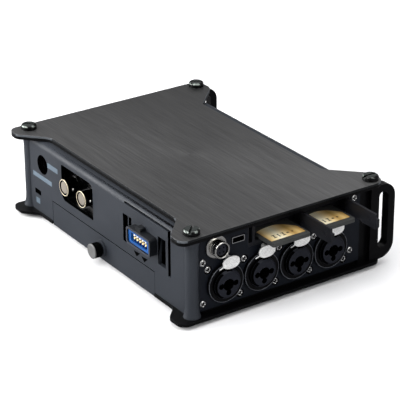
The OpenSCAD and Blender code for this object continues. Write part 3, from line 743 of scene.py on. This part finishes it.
def cross_head(bm, at, direction):
    """Domed screw head with a cross recess."""
    u, v = axes_for(direction)
    d = direction.normalized()
    spokes = 48
    first_face = len(bm.faces)
    rows = 12
    radii = [SCREW_HEAD * math.sin(math.pi / 2 * i / rows) for i in range(1, rows + 1)]
    foot = []
    for k in range(spokes):
        a = 2 * math.pi * k / spokes
        foot.append(at + u * (SCREW_HEAD * math.cos(a)) + v * (SCREW_HEAD * math.sin(a)))
    rings = [foot]
    for r in reversed(radii):
        ring = []
        for k in range(spokes):
            a = 2 * math.pi * k / spokes
            x, y = r * math.cos(a), r * math.sin(a)
            dome = 0.35 + 0.75 * math.sqrt(max(0.0, 1 - (r / SCREW_HEAD) ** 2 * 0.96))
            in_cross = min(abs(x), abs(y)) < RECESS_ARM and r < RECESS_REACH
            depth = 0.8 if in_cross else 0.0
            ring.append(at + u * x + v * y + d * (dome - depth))
        rings.append(ring)
    loft(bm, rings, FOOT)
    centre = bm.verts.new(at + d * 0.3)
    last = bm.verts[:][-1 - spokes:-1]
    for k in range(spokes):
        bm.faces.new((last[k], last[(k + 1) % spokes], centre))
    bm.faces.ensure_lookup_table()
    for face in bm.faces[first_face:]:
        flat = face.calc_center_median() - at
        across, along = abs(flat.dot(u)), abs(flat.dot(v))
        # The cross recess is painted near-black as shade.
        if min(across, along) < RECESS_ARM + 0.04 and max(across, along) < RECESS_REACH:
            face.material_index = 2


def panel_screw_heads(bm):
    """Heads on the side panels and the control panel, where the CAD screws are."""
    bm.verts.ensure_lookup_table()
    for low, high in loose_boxes("panel_screws"):
        centre = (low + high) / 2
        size = high - low
        if size.y < size.x:
            side = math.copysign(1, centre.x)
            out = max(abs(low.x), abs(high.x)) - 1.2
            place = Vector((side * out, centre.y, centre.z))
            cross_head(bm, place, X * side)
            if out < PANEL_X - 0.3:
                # A near-black ring inside the counterbore round a sunk head: painted shade.
                recess = [(1.85, 0.03), (2.36, 0.03), (2.38, 0.66)]
                lathe(bm, recess, place, X * side, 40, OPEN, 1)
        else:
            cross_head(bm, Vector((centre.x, low.y + 1.2, centre.z)), -Y)
        bm.verts.ensure_lookup_table()


piece("panel_screw_heads", "body", [zinc, void_black, void_black], panel_screw_heads,
      stands_for=["panel_screws"])

# ---------------------------------------------------------------- input connectors

dress("combo_housings", housing_plastic, edge=0.25, join_flats=True)
INSERT_FRONT = box_mm("combo_inserts")[1].x


def insert_finish(centre, normal):
    """Grey front and cone; the wall, the holes and the side of the cone facing +Y are near-black, painted
    shade.
    """
    front = abs(centre.x) > INSERT_FRONT - 1.15
    facing = abs(normal.x) > 0.95 or abs(normal.x) > 0.3 and normal.y < 0.3
    return 0 if front and facing else 1


dress("combo_inserts", insert_plastic, void_black, edge=0.2, pick=insert_finish)

RIM_FRONT = 2.1
LATCH_SHIFT = Vector((0, -2, 12))
LATCH_PROUD = 3.0
LATCH_THICK = 1.0


def input_place(number):
    """Centre of an input connector on its panel face, and its outward direction."""
    mount = MOUNTS[f"input_{number}_plug"]
    at = in_mm(mount["pos_m"])
    side = math.copysign(1, at.x)
    return Vector((side * PANEL_X, at.y, at.z)), X * side


def input_rims(bm):
    """Thin bright ring on the edge of every input's rim, a painted highlight on its chamfer, and the latch
    hook seen at the top of its insert.
    """
    for number in CHANNELS:
        at, out = input_place(number)
        front = at + out * RIM_FRONT
        bright = [(10.48, -0.1), (10.5, 0.0), (10.58, 0.05), (10.7, 0.03), (10.8, -0.06), (10.82, -0.24)]
        dark = [(10.42, 0.0), (9.6, 0.0), (9.3, -0.5), (8.6, -0.6), (8.5, -1.4)]
        lathe(bm, bright, front, out, 96, OPEN, 0)
        lathe(bm, dark, front, out, 96, OPEN, 1)
        hook = at + Vector((0, -0.9, 7.7)) + out * 2.9
        low = hook + Vector((0, -1.6, -0.9)) - out * 0.4
        high = hook + Vector((0, 1.6, 0.5)) + out * 0.9
        brick(bm, [min(a, b) for a, b in zip(low, high)], [max(a, b) for a, b in zip(low, high)], 2)


piece("input_rims", "body", [rim_highlight_steel, housing_plastic, void_black], input_rims)


def input_contacts(bm):
    """Sprung contact sleeves seen in the three contact holes."""
    sleeve_profile = [(1.35, 0), (1.35, 5.0), (1.15, 5.2), (0.95, 5.0), (0.95, 0.2)]
    for number in CHANNELS:
        at, out = input_place(number)
        for angle in (0, 180, 270):
            place = at + spoke(4.5, angle) - out * 4.8
            lathe(bm, sleeve_profile, place, out, 20, BOTH)


piece("input_contacts", "body", [dark_steel], input_contacts)


def latch(number):
    """Oval push tab with its stem and a thin wire beside the rim."""
    at, out = input_place(number)
    centre = at + LATCH_SHIFT + out * LATCH_PROUD

    def build(bm):
        outline = ellipse(10.5, 6.9, 2.3)
        if out.x > 0:
            outline = [(-a, b) for a, b in reversed(outline)]
        plate(bm, outline, centre, out, LATCH_THICK, 0.35, 0, 4)
        lathe(bm, [(1.25, -7), (1.25, 0.1)], centre + Z * 1.8, out, 24, FOOT, 0)
        wire = [centre + Vector((0, y, z)) + out * 0.36 for y, z in ((3.2, -1.2), (5.3, -1.9), (7.1, -2.6))]
        tube(bm, wire, 0.34, 10, 0)

    piece(f"latch_tab_{number}", f"latch_{number}", [latch_bright], build,
          stands_for=[f"latch_{number}"])


for number in CHANNELS:
    latch(number)

# ---------------------------------------------------------------- side connectors

INLET = in_mm(MOUNTS["inlet_barrel"]["pos_m"])
INLET_AT = Vector((-PANEL_X, INLET.y, INLET.z))


def inlet_shell(bm):
    """Hexagonal nut with rounded flats, and the barrel with its locking groove."""

    def flats(angle, height):
        if not 0.1 < height < 1.2:
            return 0
        return -0.35 * abs(math.cos(3 * angle)) ** 6

    nut = [(4.6, 0), (6.2, 0), (6.35, 0.2), (6.35, 1.1), (6.05, 1.45), (4.7, 1.5)]
    barrel = [(4.6, 0), (4.6, 3.4), (4.4, 3.55), (4.4, 3.95), (4.6, 4.1), (4.6, 6.35), (4.45, 6.7),
              (4.1, 6.8), (3.75, 6.65), (3.7, 6.4), (3.7, 1.6)]
    lathe(bm, nut, INLET_AT, -X, 72, OPEN, 0, flats)
    lathe(bm, barrel, INLET_AT, -X, 72, OPEN, 0)
    lathe(bm, [(5.35, 0.1), (5.35, -9), (3, -9)], INLET_AT, -X, 48, TIP, 0)


def inlet_core(bm):
    """Black contact carrier with four sockets, shown as near-black discs of painted shade, and a key."""
    lathe(bm, [(3.68, 1.5), (3.68, 1.7), (3.15, 1.8), (3.15, 5.6), (3.0, 5.8), (0.9, 5.8), (0.9, 5.6)],
          INLET_AT, -X, 48, TIP, 0)
    for k in range(4):
        place = INLET_AT + spoke(1.75, 45 + 90 * k)
        lathe(bm, [(0.5, 5.7), (0.5, 5.83), (0.1, 5.83)], place, -X, 20, TIP, 1)
    brick(bm, (INLET_AT.x - 5.9, INLET_AT.y - 0.5, INLET_AT.z + 2.9),
          (INLET_AT.x - 1.8, INLET_AT.y + 0.5, INLET_AT.z + 3.75), 0)


piece("inlet_shell", "body", [nickel], inlet_shell, stands_for=["power_inlet"])
piece("inlet_core", "body", [insert_plastic, void_black], inlet_core)

# Faces of the side ports nearer the middle than this are inside their openings, and are painted near-black
# as shade.
PORT_MOUTH = 84.6
# Centres along Y of the two small outputs on the +X side.
OUTPUT_Y = (44.6, 26.6)

dress("side_ports", zinc, void_black, edge=0.12,
      pick=lambda centre, _: 1 if abs(centre.x) < PORT_MOUTH else 0)


def output_cores(bm):
    """Pins and black carriers of the two small outputs on the +X side."""
    for y in OUTPUT_Y:
        at = Vector((PANEL_X, y, INLET_AT.z))
        lathe(bm, [(3.95, -8.5), (3.95, -6.5), (3.6, -6.2), (0.5, -6.2)], at, X, 40, TIP, 0)
        for angle in (90, 210, 330):
            place = at + spoke(2.0, angle)
            lathe(bm, [(0.55, -6.4), (0.55, -1.9), (0.35, -1.4)], place, X, 16, TIP, 1)


piece("output_cores", "body", [socket_plastic, gold], output_cores)

# ---------------------------------------------------------------- card bays

dress("sd_bay", bay_plastic, edge=0.15)
for number in (1, 2):
    dress(f"sd_door_{number}", bay_plastic, edge=0.14)
    dress(f"sd_card_{number}", card_plastic, edge=0.18)


def card_label(number):
    """Foil label with an arched inner end and a few plain strokes, in the recess on top of a card."""
    low, high, centre = box_mm(f"sd_card_{number}")
    half, near, reach = 10.9, 3.2, 18.4
    steps = 24
    thin = 0.5
    arch = []
    for i in range(steps + 1):
        across = half * (1 - 2 * i / steps)
        fall = 0.016 if across > 0 else 0.068
        arch.append((reach - fall * across * across, across))
    outline = [(near, half)] + arch + [(near, -half)]
    top = high.z - 0.09

    def build(bm):
        rings = [[Vector((low.x + a, centre.y + b, top + h)) for a, b in outline] for h in (-0.02, 0.05)]
        loft(bm, rings, BOTH)
        for i, (width, height) in enumerate(((2.0, 3.2), (0.8, 3.2), (2.0, 3.2), (1.6, 1.3), (1.2, 1.3))):
            y = centre.y + 6.4 - i * 2.9
            x = low.x + 7.0
            near_x, far_x = x - height / 2, x + height / 2
            for x0, x1, reach_y in ((near_x, near_x + thin, width / 2), (far_x - thin, far_x, width / 2),
                                    (near_x, far_x, 0.3)):
                brick(bm, (x0, y - reach_y, top + 0.03), (x1, y + reach_y, top + 0.07), 1)

    foil = label_gold(centre.y + half, centre.y - half)
    piece(f"card_label_{number}", f"card_{number}", [foil, print_black], build)


for number in (1, 2):
    card_label(number)

# ---------------------------------------------------------------- rear connectors

dress("jack_sockets", gloss_black, edge=0.15)
dress("bnc_jacks", gloss_black, edge=0.15)
SHROUD_FRONT = box_mm("capsule_shroud")[1].y
# Faces of the blue block deeper in than this place along Y are the floors of its recesses; they take a
# darker blue as painted shade.
INSERT_FLOOR = 63.3
# The shroud's front face takes a lighter plastic as a painted highlight.
dress("capsule_shroud", shroud_plastic, rim_highlight_plastic, edge=0.25,
      pick=lambda centre, normal: 1 if centre.y > SHROUD_FRONT - 0.15 and normal.y > 0.9 else 0)
dress("capsule_insert", blue_plastic, shaded_blue_plastic, edge=0.15,
      pick=lambda centre, normal: 1 if centre.y < INSERT_FLOOR and normal.y > 0.5 else 0)


def coax_details(bm):
    """Cream insulator, thin front ring and bayonet lugs of the two round connectors."""
    for name in ("timecode_1", "timecode_2"):
        at = in_mm(MOUNTS[name]["pos_m"])
        front = box_mm("bnc_jacks")[1].y
        seat = Vector((at.x, front, at.z))
        insulator = [(3.5, -3), (3.5, -0.5), (3.4, -0.35), (0.2, -0.35)]
        gap = [(3.51, -0.42), (4.34, -0.42)]
        ring = [(4.34, -0.5), (4.37, -0.02), (4.44, 0.05), (4.66, 0.05), (4.76, -0.02), (4.8, -0.3)]
        lug = [(0.8, 4.5), (0.8, 5.5), (0.65, 5.75), (0.2, 5.8)]
        lathe(bm, insulator, seat, Y, 56, TIP, 0)
        # Near-black ring in the gap between insulator and front ring: painted shade.
        lathe(bm, gap, seat, Y, 56, OPEN, 1)
        lathe(bm, ring, seat, Y, 64, OPEN, 3)
        for side in (-1, 1):
            lathe(bm, lug, seat - Y * 3.2, X * side, 20, TIP, 2)


piece("coax_details", "body", [beige_plastic, void_black, nickel, pale_gold], coax_details)


def capsule_contacts(bm):
    """Five columns of sprung contacts above a slotted blue tongue."""
    centre = box_mm("capsule_insert")[2]
    brick(bm, (centre.x - 7.6, 60.3, centre.z - 2.38), (centre.x + 7.6, 62.5, centre.z - 1.3), 2)
    for i in range(-2, 3):
        x = centre.x + i * 2.7
        brick(bm, (x - 0.75, 60.3, centre.z + 0.95), (x + 0.75, 62.9, centre.z + 1.65), 1)
        brick(bm, (x - 0.3, 62.7, centre.z + 0.6), (x + 0.5, 63.1, centre.z + 1.2), 1)
        brick(bm, (x - 0.75, 60.3, centre.z - 0.75), (x + 0.75, 62.9, centre.z - 0.15), 0)
        brick(bm, (x - 0.5, 62.7, centre.z - 1.0), (x + 0.3, 63.1, centre.z - 0.5), 0)
        # Dark blue bricks on the tongue stand in for its slots: painted shade.
        brick(bm, (x - 0.7, 62.4, centre.z - 2.3), (x + 0.7, 63.0, centre.z - 1.45), 3)


piece("capsule_contacts", "body", [contact_gold, latch_bright, blue_plastic, shaded_blue_plastic],
      capsule_contacts, edge=0.08)


def capsule_marks(bm):
    """Two small triangles under the capsule connector."""
    for x, z in ((-33.9, 18.2), (-41.4, 17.8)):
        points = [(x - 3.1, z + 0.9), (x + 3.1, z + 0.5), (x + 0.5, z - 2.1)]
        flat_mark(bm, points, REAR_Y - 0.05, REAR_Y + 0.06)


piece("capsule_marks", "body", [void_black], capsule_marks)


def rear_marks(bm):
    """Plain printed bars by the power and lock openings."""
    bars = ((55.8, 77.0, 23.1, 25.8), (48.6, 60.0, 33.4, 36.4), (70.4, 74.6, 6.6, 10.0))
    for left, right, low, high in bars:
        brick(bm, (left, REAR_Y - 0.05, low), (right, REAR_Y + 0.04, high))


piece("rear_marks", "body", [print_blue], rear_marks)

# ---------------------------------------------------------------- battery drawer


def drawer_finish(centre, normal):
    """Body paint; the seam round the front is near-black, painted shade."""
    return 1 if REAR_Y - WALL_DEPTH < centre.y < REAR_Y - 0.2 and abs(normal.y) < 0.5 else 0


dress("battery_drawer", body_paint, void_black, edge=0.12, pick=drawer_finish, join_flats=True)
dress("battery_cells", sleeve, nickel, edge=0.3, pick=lambda _, normal: 1 if abs(normal.x) > 0.7 else 0)


def cell_bands(bm):
    """Copper sleeve band and steel shoulder at the positive end of each cell."""
    for low, high in loose_boxes("battery_cells"):
        if high.z - low.z < 10:
            continue
        axis = (low + high) / 2
        length = high.x - low.x
        radius = (high.z - low.z) / 2
        positive = 1 if (round((57 - axis.y) / 14) % 2 == 0) == (axis.x > 2) else -1
        start = Vector((axis.x + positive * (length / 2 - 16.5), axis.y, axis.z))
        lathe(bm, [(radius - 0.02, 0), (radius + 0.03, 0.05), (radius + 0.03, 14.2), (radius - 0.02, 14.25)],
              start, X * positive, 40, OPEN, 0)


copper_band = metal("copper_band", (196, 128, 78), 0.3)
piece("cell_bands", "drawer", [copper_band], cell_bands)

SCREW_AXIS = in_mm(JOINTS["battery_screw_turn"]["pos_m"])


def thumb_knob(bm):
    """Knurled thumbscrew with a satin cap and a shank."""
    low, high, _ = box_mm("thumbscrew")
    at = Vector((SCREW_AXIS.x, 0, SCREW_AXIS.z))
    collar = low.y + 12.4
    radius = 4.3

    def knurl(angle, height):
        depth = 0.12 * fade(height - collar - 0.9, 0.3) * fade(high.y - 0.8 - height, 0.3)
        return depth * (abs((angle * 36 / (2 * math.pi)) % 1 - 0.5) * 4 - 1)

    lathe(bm, [(1.25, low.y), (1.25, collar)], at, Y, 32, FOOT, 1)
    lathe(bm, [(3.4, collar + 0.02), (3.6, collar + 0.15), (3.6, collar + 0.7)], at, Y, 48, FOOT, 1)
    side = [(3.4, collar + 0.62), (radius - 0.3, collar + 0.66), (radius - 0.12, collar + 0.85)]
    rows = int((high.y - 0.85 - collar - 1.1) / 0.3) + 1
    side += [(radius - 0.1, collar + 1.1 + 0.3 * i) for i in range(rows)]
    side += [(radius - 0.1, high.y - 0.75)]
    lathe(bm, side, at, Y, 144, OPEN, 1, knurl)
    cap = [(radius - 0.1, high.y - 0.75), (radius, high.y - 0.6), (radius, high.y - 0.25),
           (radius - 0.12, high.y - 0.06), (radius - 0.35, high.y), (3.2, high.y - 0.02),
           (1.5, high.y - 0.05)]
    lathe(bm, cap, at, Y, 96, TIP, 0)


piece("thumb_knob", "drawer_screw", [satin_steel, dark_steel], thumb_knob,
      stands_for=["thumbscrew"])

# ---------------------------------------------------------------- control panel

FACE_Y = box_mm("front_panel")[0].y + 0.5


def turned_knob(name, joint, body, node, radius, length, teeth):
    """Knurled knob with a skirt, a dished cap and a white pointer line."""
    axis = in_mm(JOINTS[joint]["pos_m"])
    base = FACE_Y - 0.6
    at = Vector((axis.x, base, axis.z))

    def knurl(angle, height):
        depth = 0.16 * fade(height - 1.2, 0.4) * fade(length - 0.9 - height, 0.4)
        return depth * math.cos(teeth * angle)

    def build(bm):
        side = [(1.5, 0), (radius, 0.02), (radius, 0.25), (radius, 0.9), (radius - 0.35, 1.1)]
        side += [(radius - 0.4 - 0.05 * i, 1.3 + (length - 2.2) * i / 6) for i in range(7)]
        side += [(radius - 0.8, length - 0.35), (radius - 1.1, length - 0.05), (radius - 1.4, length),
                 (radius - 1.9, length - 0.15), (radius - 2.6, length - 0.25)]
        lathe(bm, side, at, -Y, teeth * 4, BOTH, 0, knurl)
        lathe(bm, [(1.5, -5.4), (1.5, 0.1)], at, -Y, 32, FOOT, 1)
        brick(bm, (at.x - 0.25, base - length - 0.02, at.z + radius * 0.25),
              (at.x + 0.25, base - length + 0.3, at.z + radius - 1.15), 2)

    piece(name, body, [knob_rubber, dark_steel, print_white], build, stands_for=[node])


for number in CHANNELS:
    turned_knob(f"trim_cap_{number}", f"trim_{number}_turn", f"trim_{number}", f"trim_knob_{number}",
                4.0, 6.0, 24)
turned_knob("volume_cap", "volume_turn", "volume", "volume_knob", 4.8, 7.5, 28)
turned_knob("select_cap", "select_turn", "select", "select_knob", 7.0, 9.0, 40)

for number in CHANNELS:
    dress(f"pfl_key_{number}", key_clear, edge=0.4)
for name in ("rewind_key", "stop_key", "play_key", "forward_key", "menu_key", "power_key"):
    dress(name, key_plastic, edge=0.3)
dress("record_key", red_plastic, edge=0.3)
dress("display_lens", lens, edge=0.15)


def ring_marks(bm):
    """Printed tick marks round the knobs."""
    knobs = [(f"trim_{n}_turn", 5.2, 6.0) for n in CHANNELS] + [("volume_turn", 5.6, 6.4)]
    for joint, inner, outer in knobs:
        axis = in_mm(JOINTS[joint]["pos_m"])
        for k in range(11):
            a = math.radians(90 + 140 - 28 * k)
            u = Vector((math.cos(a), 0, math.sin(a)))
            w = Vector((-math.sin(a), 0, math.cos(a))) * 0.09
            start, end = axis + u * inner, axis + u * outer
            corners = (start - w, end - w, end + w, start + w)
            flat_mark(bm, [(p.x, p.z) for p in corners], FACE_Y + 0.05, FACE_Y - 0.03)


piece("ring_marks", "body", [print_white], ring_marks)


def key_symbols(bm):
    """Transport symbols printed above the keys: arrows, square and dot."""
    y = FACE_Y - 0.03
    z = box_mm("play_key")[1].z + 2.0
    back = [(0.9, 0.9), (-0.7, 0.0), (0.9, -0.9)]
    ahead = [(-a, b) for a, b in back]
    square = [(0.8, 0.8), (-0.8, 0.8), (-0.8, -0.8), (0.8, -0.8)]
    dot = [(0.9 * math.cos(a), 0.9 * math.sin(a)) for a in (2 * math.pi * k / 24 for k in range(24))]
    for key, outlines in (("rewind_key", [back, back]), ("stop_key", [square]), ("play_key", [ahead]),
                          ("forward_key", [ahead, ahead]), ("record_key", [dot])):
        for i, outline in enumerate(outlines):
            x = box_mm(key)[2].x + (i - (len(outlines) - 1) / 2) * 1.5
            flat_mark(bm, [(x + a, z + b) for a, b in outline], y + 0.08, y)


piece("key_symbols", "body", [print_white], key_symbols)

DISPLAY_LOW, DISPLAY_HIGH, DISPLAY = box_mm("display_lens")


def display_face(bm):
    """Backlit panel and its level bars behind the lens."""
    y = DISPLAY_HIGH.y + 0.95
    half_w, half_h = 21.4, 14.4
    left, right = DISPLAY.x - half_w, DISPLAY.x + half_w
    brick(bm, (left, y, DISPLAY.z - half_h), (right, y + 0.2, DISPLAY.z + half_h), 0)
    for channel in range(10):
        z = DISPLAY.z + 9.5 - channel * 2.1
        level = 0.45 + 0.4 * math.sin(channel * 2.4) ** 2
        for segment in range(30):
            share = segment / 30
            if share > level:
                break
            x = left + 7 + segment * 1.1
            colour = 1 if share < 0.62 else 2
            brick(bm, (x, y - 0.05, z - 0.65), (x + 0.85, y + 0.05, z + 0.65), colour)
        brick(bm, (left + 2.5, y - 0.05, z - 0.5), (left + 5, y + 0.05, z + 0.5), 3)
    brick(bm, (left + 1, y - 0.05, DISPLAY.z + 11.4), (right - 1, y + 0.05, DISPLAY.z + 11.6), 3)


display_looks = [
    screen_picture(DISPLAY_LOW, DISPLAY_HIGH),
    glow("bar_green", (60, 200, 90), 0.9),
    glow("bar_amber", (230, 190, 60), 0.9),
    glow("bar_grey", (150, 160, 170), 0.5),
]
piece("display_face", "body", display_looks, display_face)


def panel_numbers():
    """Channel numbers beside the trim knobs."""
    for number in CHANNELS:
        axis = in_mm(JOINTS[f"trim_{number}_turn"]["pos_m"])
        curve = bpy.data.curves.new(f"number_curve_{number}", "FONT")
        curve.body = str(number)
        curve.size = 3.4 * MM
        curve.extrude = 0.03 * MM
        curve.align_x = "CENTER"
        text = link(f"number_source_{number}", curve)
        bpy.context.view_layer.update()
        mesh = bpy.data.meshes.new_from_object(text)
        bpy.data.objects.remove(text)
        turn = Matrix.Rotation(math.pi / 2, 4, "X")
        mesh.transform(Matrix.Translation(Vector((axis.x - 6.4, FACE_Y, axis.z + 3.2)) * MM) @ turn)
        mesh.materials.clear()
        mesh.materials.append(print_white)
        obj = link(f"channel_number_{number}", mesh)
        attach(obj, "body")


panel_numbers()

# ---------------------------------------------------------------- stage

FLOOR_Z = box_mm("rubber_feet")[0].z * MM


def floor():
    """Pale floor, darker in reflections to keep dark parts deep, and lit far out to meet the white."""
    g = Graph("floor_pale")
    mirrored = g.add("ShaderNodeLightPath").outputs["Is Glossy Ray"]
    tone = g.mix(mirrored, (0.93, 0.93, 0.935, 1), (0.16, 0.16, 0.17, 1))
    tone = g.shade(tone, g.span(g.noise(3, 3), 0.985, 1.0))
    g.bump(g.noise(400, 2), 0.02)
    distance = g.add("ShaderNodeVectorMath", {0: g.place}, operation="LENGTH").outputs["Value"]
    far = g.span(distance, 0.0, 0.7, 0.5, 2.5)
    g.finish(tone, 0.8, Specular_IOR_Level=0.1, Emission_Color=(1, 1, 1, 1), Emission_Strength=far)
    mesh = bpy.data.meshes.new("floor")
    reach = 6.0
    corners = [(-reach, -reach), (reach, -reach), (reach, reach), (-reach, reach)]
    mesh.from_pydata([(a, b, FLOOR_Z - 0.0002) for a, b in corners], [], [(0, 1, 2, 3)])
    mesh.materials.append(g.material)
    link("floor", mesh)


def world():
    """White to the camera, soft light from above, and a darker room with a bright ceiling in reflections."""
    scene_world = bpy.data.worlds.new("studio")
    bpy.context.scene.world = scene_world
    scene_world.use_nodes = True
    scene_world.node_tree.nodes.clear()
    g = Tree(scene_world.node_tree)
    direction = g.add("ShaderNodeTexCoord").outputs["Generated"]
    up = g.add("ShaderNodeSeparateXYZ", {0: direction}).outputs["Z"]
    path = g.add("ShaderNodeLightPath").outputs

    def light(colour, strength):
        return g.add("ShaderNodeBackground", {0: colour, 1: strength}).outputs[0]

    def sky(stops, strength):
        return light(g.ramp(up, [(at, (v, v, v * 1.02, 1)) for at, v in stops]), strength)

    def choose(share, first, second):
        return g.add("ShaderNodeMixShader", {0: share, 1: first, 2: second}).outputs[0]

    soft = sky(((0.0, 0.5), (0.12, 0.35), (0.35, 0.7), (0.8, 1.0)), 0.8)
    room = sky(((0.0, 0.10), (0.25, 0.28), (0.42, 0.50), (0.6, 0.12), (0.85, 1.0)), 1.0)
    seen = choose(path["Is Glossy Ray"], soft, room)
    white = light((1, 1, 1, 1), 1.0)
    g.add("ShaderNodeOutputWorld", {0: choose(path["Is Camera Ray"], seen, white)})


def softbox(name, at, target, size, power):
    data = bpy.data.lights.new(name, "AREA")
    data.shape = "RECTANGLE"
    data.size, data.size_y = size
    data.energy = power
    obj = link(name, data)
    obj.location = at
    obj.rotation_euler = (Vector(target) - Vector(at)).to_track_quat("-Z", "Y").to_euler()


def camera():
    """Long lens behind the rear corner of the side with inputs 1 to 4."""
    azimuth, elevation, roll = math.radians(235.895), math.radians(25.099), math.radians(-0.305)
    level = math.cos(elevation)
    back = Vector((math.sin(azimuth) * level, -math.cos(azimuth) * level, math.sin(elevation)))
    right = (-back).cross(Z).normalized()
    up = right.cross(-back)
    tilted_right = right * math.cos(roll) + up * math.sin(roll)
    tilted_up = up * math.cos(roll) - right * math.sin(roll)
    data = bpy.data.cameras.new("camera")
    data.sensor_width = 36
    data.angle = math.radians(12.637)
    data.clip_start, data.clip_end = 0.05, 50
    obj = link("camera", data)
    turn = Matrix((tilted_right, tilted_up, back)).transposed().to_4x4()
    obj.matrix_world = Matrix.Translation(Vector((-0.7606, 0.51125, 0.4496))) @ turn
    bpy.context.scene.camera = obj


floor()
world()
softbox("key", (-0.2, 1.3, 1.1), (0, 0, 0.02), (1.0, 0.8), 16)
softbox("top", (0.1, -0.1, 1.4), (0, 0, 0), (1.4, 1.4), 10)
softbox("side", (-1.3, -0.4, 0.7), (0, 0, 0.02), (0.7, 0.7), 4)
softbox("rear", (0.36, 0.42, 0.16), (0.08, 0.06, 0.02), (0.4, 0.3), 3.6)
camera()

bpy.context.scene.view_settings.view_transform = "Standard"
bpy.context.scene.view_settings.look = "None"
